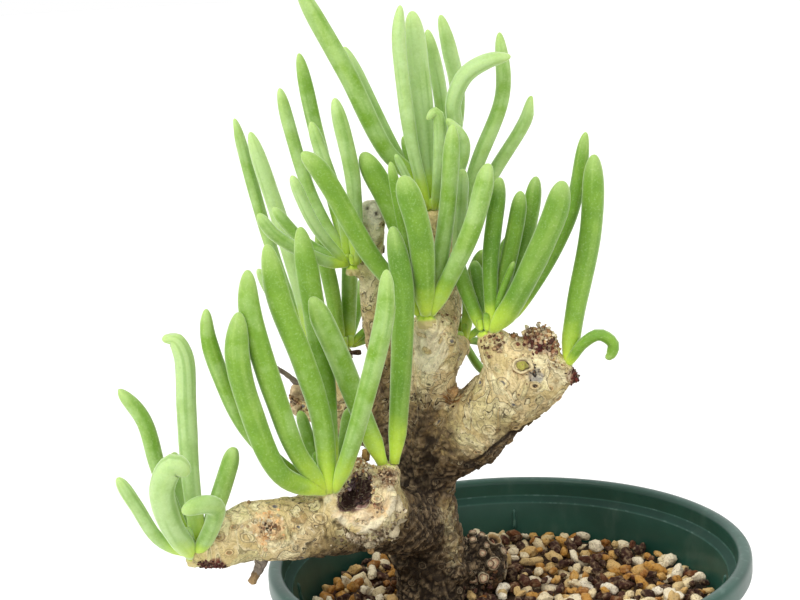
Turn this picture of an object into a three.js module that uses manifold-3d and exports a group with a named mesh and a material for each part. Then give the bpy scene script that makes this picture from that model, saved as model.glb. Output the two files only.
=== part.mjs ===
// A small succulent tree with finger-shaped leaves, growing in a green plastic pot filled with grit.
// Millimetres, +Z up. The origin is the middle of the pot's flat underside, +X is the plant's right
// and -Y its front. The wood is one grown piece, and each tuft of leaves is a piece of its own.

import * as THREE from 'three';
import { mergeVertices } from 'three/addons/utils/BufferGeometryUtils.js';
import Module from 'manifold-3d';

const wasm = await Module();
wasm.setup();

// Clearances
const GAP = 0.3;
const MERGE_DISTANCE = 1e-4;
const SCRAP_VOLUME = 1;

// Pot
const POT_HEIGHT = 110;
const RIM_RADIUS = 75;
const RIM_DEPTH = 7;
const RIM_EDGE_ROUND = 1.5;
const WALL_TOP_RADIUS = 69.5;
const BASE_RADIUS = 53;
const BASE_ROUND = 2;
const WALL = 1.8;
const FLOOR = 2.4;
const MOUTH_RADIUS = 70.5;
const LEDGE_DEPTH = 6;
const LEDGE_SLOPE = 1.6;
const POT_SIDES = 40;
const DRAIN_COUNT = 6;
const DRAIN_RADIUS = 3.5;
const DRAIN_CIRCLE = 38;
const DRAIN_SIDES = 8;
const NUB = { count: 4, first: 87.4, width: 1.2, depth: 0.8, height: 7, below: 13.5 };

// Grit
const GRIT_DEPTH = 20;
const GRIT_TOP = POT_HEIGHT - GRIT_DEPTH;
const GRIT_SIDES = 36;
const STONE = { spacing: 5.4, height: 3.6, spread: 0.45, shift: 1.1, seed: 11 };
const HEAP = { from: 24, to: 66, height: 3 };
const GOLDEN_ANGLE = Math.PI * (3 - Math.sqrt(5));

// Leaves
const LEAF_SIDES = 6;
const LEAF_RINGS = [0, 0.14, 0.4, 0.68, 0.88, 0.96];
const CURLED_RINGS = [0, 0.14, 0.36, 0.54, 0.68, 0.78, 0.86, 0.92, 0.98];
const CURLED_FROM_POINTS = 4;
const ROOT_SHARE = 0.46;
const NECK_SHARE = 0.36;
const NECK_AT = 0.14;
const WIDEST_AT = 0.6;
const TIP_FROM = 0.72;
const TIP_POWER = 2.4;
const ROOT_SPREAD = 2;
const GROOVE = 0.12;
const CROWN_SINK = 0.35;
const CROWN_FLAT = 0.8;

// Wood
const BARK_ROUGHNESS = 0.08;
const BARK_SEED = 5;
const BRANCH_CAP = 0.4;
const SCAR = { sides: 5, height: 0.9 };
const KNOB_SINK = 0.45;
const PEG_ROOT_WIDER = 1.2;
const TWIG_CAP = 0.4;

const COLOURS = {
  pot: 0x1d4a40,
  grit: 0xa98a5c,
  wood: 0xa8946a,
  leaf: 0x7fae45,
};

// Each branch runs through points of x, y, z and radius. The first lie inside the branch it leaves.
const BRANCHES = {
  trunk: {
    sides: 12, steps: 9, through: [
      [-25, 14, 60, 5], [-25, 14, 76, 10], [-25, 14, 90, 12.5], [-25, 14, 97, 11],
      [-24, 13, 109, 10], [-25, 12, 123, 9], [-25, 10, 135, 9.5], [-24, 8, 144, 7],
    ],
  },
  middle: {
    sides: 10, steps: 7, through: [
      [-25, 10, 132, 9.5], [-23, 7, 149, 7.8], [-21, 3, 163, 7.3], [-19, -1, 175, 7.3], [-20, -4, 184, 6.4],
    ],
  },
  top: {
    sides: 8, steps: 7, through: [
      [-19, 0, 174, 5.4], [-15, 6, 189, 4.8], [-15.5, 9, 203, 4.3], [-18, 10, 215, 4.2],
    ],
  },
  upper_left: {
    sides: 8, steps: 9, through: [
      [-28, 11, 136, 7.5], [-34, 12, 156, 5.2], [-37, 11, 175, 4.3], [-38, 10, 189, 4],
      [-38, 9, 200, 4], [-36.8, 8, 211, 4.2], [-36, 8, 219, 4],
    ],
  },
  upper_left_side: { sides: 7, steps: 2, through: [[-38, 9, 197, 3], [-42.5, 4.5, 201, 2.8]] },
  back_left: {
    sides: 8, steps: 3, through: [[-51, 18, 151, 6], [-51.5, 20, 161, 4], [-50, 22, 171, 3.4]],
  },
  back_right: { sides: 8, steps: 3, through: [[-19, 2, 167, 5.4], [-15, 11, 170, 4.6], [-12, 18, 172, 4]] },
  far_left: {
    sides: 9, steps: 6, through: [
      [-29, 12, 139, 8], [-40, 15, 148, 8.3], [-51, 18, 151, 8], [-60, 21, 154, 6], [-65.5, 22, 156, 4.2],
    ],
  },
  far_left_up: { sides: 8, steps: 3, through: [[-56, 22, 155, 5.6], [-59, 27, 162, 4.6], [-60, 30, 168, 4]] },
  right: {
    sides: 12, steps: 8, through: [
      [-21, 9, 137, 8.8], [-10.8, 5, 146.8, 11.8], [-1.7, 0, 156.2, 10.6], [4.6, -3, 162.5, 11.4], [10, -5, 169, 12.6],
    ],
  },
  right_tip: { sides: 9, steps: 3, through: [[12, -6, 168, 9], [20, -7, 167.4, 4.8]] },
  right_top: { sides: 8, steps: 3, through: [[10, -6, 171, 8], [12.5, -7, 177, 5]] },
  right_spur: { sides: 8, steps: 3, through: [[2.4, -6, 172.5, 7.8], [-2.6, -8, 179.8, 4.4]] },
  left: {
    sides: 11, steps: 12, through: [
      [-28, 7, 116, 10], [-36, -8, 123.5, 9.9], [-46, -18, 127, 9.4], [-55, -25, 128.5, 9],
      [-66, -31, 130, 9.4], [-76, -34, 130.5, 8.4], [-85, -37, 127.5, 6.8], [-90, -38, 125.5, 4.2],
    ],
  },
  elbow: { sides: 12, steps: 4, through: [[-33, 0, 121, 9], [-39, -14, 129, 9.8], [-42.5, -27, 135.5, 11.4]] },
  elbow_spur: { sides: 8, steps: 3, through: [[-37, -17, 136, 5.4], [-34, -20, 143.5, 3.8]] },
  left_spur: { sides: 8, steps: 3, through: [[-51, -24, 131, 6.6], [-51, -27, 138.5, 4.6]] },
  burl: { sides: 9, steps: 3, through: [[-17, 19, 88, 7.5], [-9.5, 24, 93.5, 8.4], [-8.5, 25, 99.5, 6.4]] },
};

// Old leaf bases stand as short pegs on the burl: where each ends, and its radius.
const PEG_ROOT = [-10, 24, 95];
const PEG_SIDES = 5;
const PEGS = [
  [-12, 15, 97, 1.7], [-8, 13, 95, 2], [-3, 16, 98, 2.1], [-8, 15, 103, 1.9], [-4, 19, 106, 2.2],
  [-14, 17, 105, 1.5], [-15, 20, 108, 1.4], [-10, 19, 108, 1.6], [-7, 23, 109, 1.5], [-11, 25, 108, 1.5],
  [0, 21, 102, 1.9], [1, 26, 97, 2], [-1, 31, 102, 1.8], [-7, 34, 99, 1.9],
];

// Leaf scars wind round a branch by the golden angle: from and to are shares of its length.
const SCAR_RUNS = [
  { on: 'left', from: 0.5, to: 0.95, count: 8, start: 1.3, size: 2.6 },
  { on: 'right', from: 0.55, to: 0.98, count: 9, start: 0.4, size: 2.7 },
  { on: 'middle', from: 0.35, to: 0.9, count: 4, start: 2.1, size: 2.2 },
  { on: 'upper_left', from: 0.45, to: 0.98, count: 4, start: 0.2, size: 1.8 },
  { on: 'far_left', from: 0.4, to: 0.95, count: 4, start: 1, size: 2.4 },
  { on: 'elbow', from: 0.6, to: 0.9, count: 3, start: 3.4, size: 2.4 },
];

// Knobs that stand out: the branch, the share of its length, which way the knob faces, and its radius.
const KNOBS = [
  { on: 'left', at: 0.62, facing: [0, -1, 0.1], radius: 4.6 },
  { on: 'right', at: 0.96, facing: [-0.15, -1, 0.1], radius: 3.2 },
  { on: 'right_tip', at: 0.95, facing: [0.4, -1, -0.4], radius: 3 },
  { on: 'elbow', at: 0.95, facing: [0.8, -0.5, 0.75], radius: 4 },
  { on: 'elbow', at: 0.75, facing: [0.6, -0.3, -1], radius: 3.2 },
  { on: 'trunk', at: 0.5, facing: [-1, -0.6, 0], radius: 4.5 },
  { on: 'trunk', at: 0.42, facing: [1, -0.7, 0], radius: 4.2 },
  { on: 'trunk', at: 0.55, facing: [0.2, 1, 0], radius: 4.6 },
];

// The hollow in the elbow's face has two lobes, and a shallow dish lies below it: middles and half sizes.
const HOLLOWS = [
  { at: [-41.6, -28, 140.2], half: [3.5, 6.5, 4.6] },
  { at: [-45.4, -28, 137.4], half: [3.4, 5.6, 3.2] },
  { at: [-41, -36.8, 135], half: [7.2, 4.8, 4.6] },
];

// Dead twigs and dried flower stalks: x, y, z and radius along each.
const TWIGS = [
  [[-71, -32, 124, 2], [-72.5, -33, 119, 1.7], [-75, -34, 114, 1.2]],
  [[-64, 20, 158, 1.6], [-67, 18, 163, 1.2], [-71, 16, 168, 0.9]],
  [[-62, 18, 158, 2.6], [-66, 15, 160, 2]],
  [[-63, 19, 154, 2.2], [-66, 16, 153, 1.6]],
  [[10, -7, 176, 2.8], [11, -10, 181, 2.2]],
  [[14, -8, 176, 2.4], [16, -11, 179, 1.8]],
  [[19, -7, 167, 2.6], [24, -9, 166, 2.1]],
  [[-86, -38, 123, 2.4], [-88, -41, 121, 1.8]],
];
const TWIG_SIDES = 5;

// Each tuft: where its growing point is, the radius of its crown, and its leaves. A leaf is its
// girth and the points that it runs through, counted from the growing point.
const TUFTS = {
  leaves_left_tip: {
    at: [-91, -38, 126], crown: 3.6, leaves: [
      [5, [-10, 8, 23], [-14, 11, 38], [-21, 13, 47]],
      [4.5, [-9, -4, 6], [-14, -8, 18], [-18, -10, 27]],
      [7.5, [-4, -12, 15], [-4, -16, 26], [0, -17, 32], [4, -16, 29]],
      [6.5, [0.7, 0, 22], [0.8, 2, 43], [1.2, 2, 59], [-0.9, 1, 64], [-4, 0, 64]],
      [5.5, [8, -9, 12], [10, -15, 19], [7, -19, 21], [2, -22, 20]],
      [6, [9, 2, 18], [14, 2, 31]],
      [2.5, [0, -4, 6], [0, -6, 10]],
      [3, [0, 4, 5], [1, 7, 10]],
      [4.5, [-5, 11, 12], [-7, 17, 26]],
    ],
  },
  leaves_left_middle: {
    at: [-51, -27, 140], crown: 4.2, leaves: [
      [5.5, [-13, -4, 9], [-23, -7, 23], [-31, -9, 49], [-31, -9, 58]],
      [7.4, [-12.8, -11, 8.8], [-19.8, -15, 30.5], [-22, -16, 45], [-20.6, -16, 58]],
      [7, [-8, -8, 14], [-12, -11, 29], [-18, -12, 57], [-18, -11, 69]],
      [4, [-4, 5, 6], [-9, 10, 22]],
      [7, [-1, -4, 23], [-5, -7, 42], [-10, -7, 58], [-13, -5, 75]],
      [7, [-1, 9, 33], [-6, 19, 76]],
      [6, [6, -6, 11], [11, -9, 25], [20, -11, 55], [21, -10, 67]],
      [3, [-2, 0, 5], [-4, 0, 12]],
      [4.5, [3, 10, 7], [5, 22, 19]],
    ],
  },
  leaves_left_elbow: {
    at: [-34, -20, 145], crown: 3.4, leaves: [
      [7.5, [-6, 1, 12], [-13, -3, 36], [-19, -6, 53]],
      [7, [3, 2, 9], [6, 4, 37], [7, 4, 53], [5, 4, 71]],
    ],
  },
  leaves_middle: {
    at: [-21, -8, 188], crown: 4.4, leaves: [
      [7.5, [0, -9, 25], [-4, -11, 43]],
      [5.5, [8, 0, 31], [11, 0, 56]],
      [6.5, [15, -8, 26], [21, -9, 45]],
      [7, [-7, 0, 7], [-15, -1, 18], [-28, -7, 45], [-33, -9, 51]],
      [7.5, [-7, 10, 26], [-17, 12, 48]],
      [3.5, [-5, 2, 22], [-8, 0, 46]],
    ],
  },
  leaves_right: {
    at: [-3, -8, 182], crown: 4, leaves: [
      [5, [-7, 4, 16], [-9, 8, 23]],
      [4, [-1, 6, 8], [-3, 13, 19]],
      [5.5, [2, -1, 21], [6, -2, 46]],
      [5.5, [10, 3, 31], [12, 3, 41]],
      [5.5, [10, 9, 19], [14, 11, 30], [17, 12, 44]],
      [8, [7, -4, 7], [21, -9, 35], [24, -10, 45]],
      [5, [9, 3, 5], [26, 6, 32], [32, 7, 57]],
      [2.5, [4, -2, 9], [9, -3, 21]],
      [5, [3, 12, 7], [8, 25, 24]],
    ],
  },
  leaves_right_tip: {
    at: [18.8, -7.6, 170], crown: 3, leaves: [
      [7.4, [4.8, 0, 17], [10, 0, 40], [12, 0, 63]],
      [4, [6.6, -4, 7.4], [11.4, -5, 10], [15.4, -5, 7], [14, -5, 3.4], [11.6, -5, 4]],
    ],
  },
  leaves_top: {
    at: [-18, 10, 217], crown: 4, leaves: [
      [6.5, [-6, 2, 10], [-13, 2, 18], [-24, 2, 43], [-37, 2, 69]],
      [4.5, [-11, 10, 17], [-25.5, 16, 50]],
      [4.5, [-5, -5, 21], [-7, -7, 52], [-6, -7, 62]],
      [7, [-1, 1, 20], [-3, 1, 60]],
      [4.5, [1, 6, 8], [4, 9, 20], [4, 10, 33], [1, 10, 54]],
      [5, [3, 13, 6], [7, 19, 19], [9, 21, 34], [7, 21, 48], [5, 20, 58]],
      [5.5, [8, 0, 24], [8, -1, 32], [12, -2, 40], [19, -3, 44], [26, -3, 45]],
      [3.5, [2, -6, 8], [3, -8, 30], [0, -9, 28]],
      [3.5, [6, -5, 6], [11, -7, 20], [6, -9, 28]],
      [3.5, [-4, 6, 6], [-8, 9, 22]],
      [2.5, [-5, -4, 6], [-10, -7, 18]],
    ],
  },
  leaves_behind_middle: {
    at: [-12, 9, 198], crown: 3.2, leaves: [
      [5, [7, 4, 28], [17, 8, 52], [17, 8, 71]],
      [4.5, [5, 6, 12], [12, 10, 26], [24, 12, 44], [26, 12, 51]],
      [4.5, [2, -5, 12], [4, -10, 32]],
      [4.5, [4, 9, 8], [8, 20, 28]],
    ],
  },
  leaves_upper_left: {
    at: [-43, 4, 202], crown: 3.4, leaves: [
      [4, [-10, -6, 13], [-16, -8, 29]],
      [4.5, [-8, -4, 2], [-22, -7, 11], [-27, -8, 18]],
      [4, [-15, 4, 7], [-24, 4, 18]],
      [4.5, [-12, 8, 20], [-18, 10, 43], [-20, 10, 54]],
      [4.8, [-4.5, 8, 14], [-10.8, 15, 43], [-14, 16, 64]],
      [4.5, [-2, 1, 13], [-10, 0, 44]],
      [5, [2, -3, 25], [-2, -4, 51]],
      [2.5, [3, -5, 9], [1, -8, 17]],
    ],
  },
  leaves_back_left: {
    at: [-49, 22, 172], crown: 3.4, leaves: [
      [5.5, [-2.4, -2, 18], [-5.6, -3, 38]],
      [5.5, [2, 2, 12], [3, 2, 24], [4, 4, 42]],
      [4.5, [2, 8, 5], [7, 18, 20]],
      [3, [5, 3, 3], [14, 6, 9]],
      [3, [7, 6, 1], [13, 10, 2]],
    ],
  },
  leaves_back_right: {
    at: [-12, 19, 173], crown: 3.4, leaves: [
      [4, [-1, 2, 6], [-3, 2, 29]],
      [4.5, [3, 1, 9], [4, -2, 18], [9, -7, 30]],
      [3, [9, 6, 4], [15, 8, 8]],
      [3, [9, 11, -3], [15, 15, -2]],
      [3, [6, 11, -12], [10, 15, -16]],
      [4.5, [-2, 10, 12], [-5, 17, 30]],
    ],
  },
  leaves_far_left: {
    at: [-60, 30, 169], crown: 3.4, leaves: [
      [4.4, [-12.6, 4, 37], [-20.8, 4, 77]],
      [5.5, [-1, -3, 11], [-6, -3, 38], [-15, -3, 73]],
      [4, [-6, -4, 8], [-15, -9, 30]],
      [5, [1, 8, 10], [0, 13, 20], [-1, 16, 31]],
    ],
  },
};

// A repeatable stream of numbers from 0 to 1.
function randomFrom(seed) {
  let state = seed >>> 0;
  return () => {
    state = (state + 0x6d2b79f5) >>> 0;
    let mixed = Math.imul(state ^ (state >>> 15), state | 1);
    mixed ^= mixed + Math.imul(mixed ^ (mixed >>> 7), mixed | 61);
    return ((mixed ^ (mixed >>> 14)) >>> 0) / 4294967296;
  };
}

// The closed solid of a geometry, with its doubled vertices joined.
function solidOf(geometry) {
  const bare = new THREE.BufferGeometry();
  bare.setAttribute('position', geometry.getAttribute('position').clone());
  bare.setIndex(geometry.index ? geometry.index.clone() : null);
  const merged = mergeVertices(bare, MERGE_DISTANCE);
  const corners = merged.index.array;
  const triVerts = [];
  for (let i = 0; i < corners.length; i += 3) {
    const [a, b, c] = corners.slice(i, i + 3);
    if (a !== b && b !== c && c !== a) {
      triVerts.push(a, b, c);
    }
  }
  const vertProperties = Float32Array.from(merged.getAttribute('position').array);
  return new wasm.Manifold(new wasm.Mesh({ numProp: 3, vertProperties, triVerts: Uint32Array.from(triVerts) }));
}

function joined(solids) {
  return solids.reduce((whole, next) => whole.add(next));
}

// The largest body of a solid: cuts can leave loose scraps.
function largestBody(solid) {
  const bodies = solid.decompose();
  bodies.sort((a, b) => b.volume() - a.volume());
  const scraps = bodies.slice(1).filter((body) => body.volume() > SCRAP_VOLUME);
  if (scraps.length > 0) {
    console.warn(`dropped ${scraps.length} scraps, the largest ${scraps[0].volume().toFixed(1)} mm3`);
  }
  return bodies[0];
}

function geometryOf(solid) {
  const { vertProperties, triVerts, numProp } = solid.getMesh();
  const positions = new Float32Array((vertProperties.length / numProp) * 3);
  for (let i = 0; i < positions.length / 3; i += 1) {
    positions.set(vertProperties.subarray(i * numProp, i * numProp + 3), i * 3);
  }
  const geometry = new THREE.BufferGeometry();
  geometry.setAttribute('position', new THREE.BufferAttribute(positions, 3));
  geometry.setIndex(new THREE.BufferAttribute(Uint32Array.from(triVerts), 1));
  geometry.computeVertexNormals();
  return geometry;
}

function part(name, geometry, colour, roughness) {
  const material = new THREE.MeshStandardMaterial({ color: colour, roughness, metalness: 0 });
  const mesh = new THREE.Mesh(geometry, material);
  mesh.name = name;
  return mesh;
}

// A round closed bar along a curve. rings are shares of its length, radiusAt gives the radius
// at a share, relief scales it at a ring and side, and the caps are how far its ends bulge.
function barAlong(curve, { rings, sides, radiusAt, relief = () => 1, rootCap = 0, tipCap = 0 }) {
  const profile = [new THREE.Vector2(0, 0)];
  rings.forEach((share, ring) => profile.push(new THREE.Vector2(radiusAt(share), ring)));
  profile.push(new THREE.Vector2(0, rings.length - 1));
  const geometry = new THREE.LatheGeometry(profile, sides);
  const frames = framesAt(curve, rings);
  const position = geometry.getAttribute('position');
  const rows = profile.length;
  for (let i = 0; i < position.count; i += 1) {
    const row = i % rows;
    const side = Math.floor(i / rows) % sides;
    const ring = Math.min(Math.max(row - 1, 0), rings.length - 1);
    const scale = relief(ring, side);
    const frame = frames[ring];
    const bulge = row === 0 ? -rootCap : Number(row === rows - 1) * tipCap;
    const point = frame.point.clone()
      .addScaledVector(frame.normal, position.getX(i) * scale)
      .addScaledVector(frame.binormal, -position.getZ(i) * scale)
      .addScaledVector(frame.tangent, bulge);
    position.setXYZ(i, point.x, point.y, point.z);
  }
  return solidOf(geometry);
}

// The curve's point and axes at each share of its length, carried along without twist.
function framesAt(curve, shares) {
  const steps = 50;
  const { tangents, normals, binormals } = curve.computeFrenetFrames(steps, false);
  return shares.map((share) => {
    const step = Math.round(share * steps);
    return {
      point: curve.getPointAt(step / steps),
      tangent: tangents[step],
      normal: normals[step],
      binormal: binormals[step],
    };
  });
}

function evenShares(steps) {
  return Array.from({ length: steps + 1 }, (_, i) => i / steps);
}

// Pot
function potProfile() {
  const rimFoot = POT_HEIGHT - RIM_DEPTH;
  const ledge = POT_HEIGHT - LEDGE_DEPTH;
  const innerTop = WALL_TOP_RADIUS - WALL;
  const outline = [
    [0, 0],
    [BASE_RADIUS - BASE_ROUND, 0],
    [BASE_RADIUS, BASE_ROUND],
    [WALL_TOP_RADIUS, rimFoot],
    [RIM_RADIUS - RIM_EDGE_ROUND, rimFoot],
    [RIM_RADIUS, rimFoot + RIM_EDGE_ROUND],
    [RIM_RADIUS, POT_HEIGHT - RIM_EDGE_ROUND],
    [RIM_RADIUS - RIM_EDGE_ROUND, POT_HEIGHT],
    [MOUTH_RADIUS + RIM_EDGE_ROUND, POT_HEIGHT],
    [MOUTH_RADIUS, POT_HEIGHT - RIM_EDGE_ROUND],
    [MOUTH_RADIUS, ledge],
    [innerTop, ledge - LEDGE_SLOPE],
    [BASE_RADIUS - WALL, FLOOR],
    [0, FLOOR],
  ];
  return outline.map(([radius, height]) => new THREE.Vector2(radius, height));
}

// A lathe turns about Y, and the pot stands along Z.
function turned(profile, sides) {
  return new THREE.LatheGeometry(profile, sides).rotateX(Math.PI / 2);
}

function innerRadiusAt(height) {
  const share = (height - FLOOR) / (POT_HEIGHT - LEDGE_DEPTH - LEDGE_SLOPE - FLOOR);
  return THREE.MathUtils.lerp(BASE_RADIUS - WALL, WALL_TOP_RADIUS - WALL, share);
}

function makePot() {
  const holes = [];
  for (let i = 0; i < DRAIN_COUNT; i += 1) {
    const angle = (i / DRAIN_COUNT) * 2 * Math.PI;
    const hole = new THREE.CylinderGeometry(DRAIN_RADIUS, DRAIN_RADIUS, FLOOR * 3, DRAIN_SIDES);
    hole.rotateX(Math.PI / 2);
    hole.translate(DRAIN_CIRCLE * Math.cos(angle), DRAIN_CIRCLE * Math.sin(angle), FLOOR / 2);
    holes.push(solidOf(hole));
  }
  const nubs = [];
  const nubHeight = POT_HEIGHT - NUB.below;
  for (let i = 0; i < NUB.count; i += 1) {
    const angle = THREE.MathUtils.degToRad(NUB.first + (i * 360) / NUB.count);
    const nub = new THREE.BoxGeometry(NUB.depth + WALL / 2, NUB.width, NUB.height);
    nub.translate(innerRadiusAt(nubHeight) + (WALL / 2 - NUB.depth) / 2, 0, nubHeight);
    nub.rotateZ(angle);
    nubs.push(solidOf(nub));
  }
  const body = solidOf(turned(potProfile(), POT_SIDES));
  return body.add(joined(nubs)).subtract(joined(holes));
}

// Grit
// The stones are relief: every other crossing of a shaken grid is the top of one, and the
// crossings between are the gaps. The grit lies higher towards the wall.
function makeStones() {
  const across = Math.ceil(RIM_RADIUS / STONE.spacing) * 2;
  const side = across * STONE.spacing;
  const block = new THREE.BoxGeometry(side, side, GRIT_TOP, across, across, 1);
  block.translate(0, 0, GRIT_TOP / 2);
  const random = randomFrom(STONE.seed);
  const shakes = new Map();
  const position = block.getAttribute('position');
  for (let i = 0; i < position.count; i += 1) {
    const column = Math.round(position.getX(i) / STONE.spacing);
    const row = Math.round(position.getY(i) / STONE.spacing);
    const key = `${column} ${row}`;
    if (!shakes.has(key)) {
      shakes.set(key, [random() * 2 - 1, random() * 2 - 1, random() * 2 - 1]);
    }
    if (position.getZ(i) > GRIT_TOP / 2) {
      const [shiftX, shiftY, lift] = shakes.get(key);
      const top = (column + row) % 2 === 0 ? STONE.height / 2 : -STONE.height / 2;
      const away = Math.hypot(position.getX(i), position.getY(i));
      const heap = HEAP.height * THREE.MathUtils.smoothstep(away, HEAP.from, HEAP.to);
      position.setX(i, position.getX(i) + shiftX * STONE.shift);
      position.setY(i, position.getY(i) + shiftY * STONE.shift);
      position.setZ(i, GRIT_TOP + heap + top * (1 + STONE.spread * lift));
    }
  }
  return solidOf(block);
}

function makeGrit(plantInSoil) {
  const floor = FLOOR + GAP;
  const full = GRIT_TOP + STONE.height * 2;
  const profile = [
    [0, floor],
    [innerRadiusAt(floor) - GAP * 2, floor],
    [innerRadiusAt(full) - GAP * 3, full],
    [0, full],
  ];
  const filled = solidOf(turned(profile.map(([radius, height]) => new THREE.Vector2(radius, height)), GRIT_SIDES));
  return largestBody(filled.intersect(makeStones()).subtract(plantInSoil));
}

// Wood
function curveThrough(points) {
  return new THREE.CatmullRomCurve3(points.map(([x, y, z]) => new THREE.Vector3(x, y, z)));
}

// The radius at a share of the length, from the radii stated along the branch.
function radiusAlong(through, curve) {
  const whole = curve.getLength();
  const marks = through.map((point, i) => {
    const share = i / (through.length - 1);
    return { share: lengthShareAt(curve, share, whole), radius: point[3] };
  });
  return (share) => {
    const next = marks.findIndex((mark) => mark.share >= share - 1e-9);
    if (next <= 0) {
      return marks[Math.max(next, 0)].radius;
    }
    const before = marks[next - 1];
    const between = (share - before.share) / (marks[next].share - before.share);
    return THREE.MathUtils.lerp(before.radius, marks[next].radius, between);
  };
}

function lengthShareAt(curve, t, whole) {
  const divisions = 200;
  const lengths = curve.getLengths(divisions);
  return lengths[Math.round(t * divisions)] / whole;
}

function branchBar(name, grow) {
  const { sides, steps, through } = BRANCHES[name];
  const curve = curveThrough(through);
  const radiusAt = radiusAlong(through, curve);
  const random = randomFrom(BARK_SEED + name.length * 31 + steps);
  const rough = Array.from({ length: (steps + 1) * sides }, () => 1 + BARK_ROUGHNESS * (random() * 2 - 1));
  const cap = radiusAt(1) * BRANCH_CAP + grow;
  return barAlong(curve, {
    rings: evenShares(steps),
    sides,
    radiusAt: (share) => radiusAt(share) + grow,
    relief: (ring, side) => rough[ring * sides + side],
    rootCap: cap,
    tipCap: cap,
  });
}

// The point of a branch's skin at a share of its length on the side that faces a direction.
function skinPoint(name, share, facing) {
  const { through } = BRANCHES[name];
  const curve = curveThrough(through);
  const tangent = curve.getTangentAt(share);
  const outward = new THREE.Vector3(...facing);
  outward.addScaledVector(tangent, -outward.dot(tangent)).normalize();
  const radius = radiusAlong(through, curve)(share);
  return { point: curve.getPointAt(share).addScaledVector(outward, radius), outward };
}

// The direction across a branch at an angle round it.
function directionAround(name, share, angle) {
  const [frame] = framesAt(curveThrough(BRANCHES[name].through), [share]);
  const direction = frame.normal.clone().multiplyScalar(Math.cos(angle));
  return direction.addScaledVector(frame.binormal, Math.sin(angle)).toArray();
}

function scar({ point, outward }, size) {
  const boss = new THREE.ConeGeometry(size, SCAR.height * 2, SCAR.sides);
  boss.applyQuaternion(new THREE.Quaternion().setFromUnitVectors(new THREE.Vector3(0, 1, 0), outward));
  boss.translate(point.x, point.y, point.z);
  return solidOf(boss);
}

function makeScars() {
  const scars = [];
  for (const { on, from, to, count, start, size } of SCAR_RUNS) {
    for (let i = 0; i < count; i += 1) {
      const share = THREE.MathUtils.lerp(from, to, i / (count - 1));
      const facing = directionAround(on, share, start + i * GOLDEN_ANGLE);
      scars.push(scar(skinPoint(on, share, facing), size));
    }
  }
  return scars;
}

function makeKnobs() {
  return KNOBS.map(({ on, at, facing, radius }) => {
    const { point, outward } = skinPoint(on, at, facing);
    const ball = new THREE.IcosahedronGeometry(radius, 0);
    const middle = point.addScaledVector(outward, -radius * KNOB_SINK);
    ball.translate(middle.x, middle.y, middle.z);
    return solidOf(ball);
  });
}

function taperedBar(through, sides, cap) {
  const curve = curveThrough(through);
  const rings = evenShares(through.length - 1);
  return barAlong(curve, { rings, sides, radiusAt: radiusAlong(through, curve), rootCap: cap, tipCap: cap });
}

function pegBars(grow) {
  return PEGS.map(([x, y, z, radius]) => {
    const wide = radius + grow;
    return taperedBar([[...PEG_ROOT, wide * PEG_ROOT_WIDER], [x, y, z, wide]], PEG_SIDES, grow);
  });
}

function makeTwigs() {
  return TWIGS.map((through) => taperedBar(through, TWIG_SIDES, TWIG_CAP));
}

function makeHollow() {
  return joined(HOLLOWS.map(({ at, half }) => {
    const hole = new THREE.IcosahedronGeometry(1, 1);
    hole.scale(...half);
    hole.translate(...at);
    return solidOf(hole);
  }));
}

function makeWood(tuftSockets) {
  const branches = Object.keys(BRANCHES).map((name) => branchBar(name, 0));
  const whole = joined([...branches, ...makeScars(), ...makeKnobs(), ...pegBars(0), ...makeTwigs()]);
  return largestBody(whole.subtract(makeHollow()).subtract(joined(tuftSockets)));
}

// What the grit keeps clear of: the trunk's foot and the burl, a little larger all round.
function makeFootClearance() {
  const grow = GAP * 2;
  return joined([branchBar('trunk', grow), branchBar('burl', grow), ...pegBars(grow)]);
}

// Leaves
function leafShare(share) {
  const neck = NECK_SHARE * THREE.MathUtils.smoothstep(share, 0, NECK_AT);
  const swell = (1 - ROOT_SHARE - NECK_SHARE) * THREE.MathUtils.smoothstep(share, 0, WIDEST_AT);
  const past = Math.max(0, (share - TIP_FROM) / (1 - TIP_FROM));
  return (ROOT_SHARE + neck + swell) * Math.sqrt(Math.max(0, 1 - past ** TIP_POWER));
}

function leaf(at, [girth, ...points], grow) {
  const first = new THREE.Vector3(...points[0]);
  const outward = new THREE.Vector2(first.x, first.y).normalize().multiplyScalar(ROOT_SPREAD);
  const root = [outward.x, outward.y, 0];
  const curve = curveThrough([root, ...points]);
  const rings = points.length >= CURLED_FROM_POINTS ? CURLED_RINGS : LEAF_RINGS;
  const bar = barAlong(curve, {
    rings,
    sides: LEAF_SIDES,
    radiusAt: (share) => (girth / 2) * leafShare(share) + grow,
    relief: (ring, side) => (side === 0 ? 1 - GROOVE : 1),
    rootCap: grow,
    tipCap: (1 - rings[rings.length - 1]) * curve.getLength() + grow,
  });
  return bar.translate(at);
}

function crown(at, radius, grow) {
  const ball = new THREE.IcosahedronGeometry(radius + grow, 0);
  ball.scale(1, 1, CROWN_FLAT);
  ball.translate(at[0], at[1], at[2] - radius * CROWN_SINK);
  return solidOf(ball);
}

function tuftSolid({ at, crown: crownRadius, leaves }, grow) {
  return joined([crown(at, crownRadius, grow), ...leaves.map((shape) => leaf(at, shape, grow))]);
}

// Assembly
const tufts = Object.entries(TUFTS);
const wood = makeWood(tufts.map(([, tuft]) => tuftSolid(tuft, GAP)));
const plant = new THREE.Group();
plant.add(part('pot', geometryOf(makePot()), COLOURS.pot, 0.42));
plant.add(part('grit', geometryOf(makeGrit(makeFootClearance())), COLOURS.grit, 0.95));
plant.add(part('caudex', geometryOf(wood), COLOURS.wood, 0.9));
for (const [name, tuft] of tufts) {
  plant.add(part(name, geometryOf(tuftSolid(tuft, 0)), COLOURS.leaf, 0.5));
}

export default plant;
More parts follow.
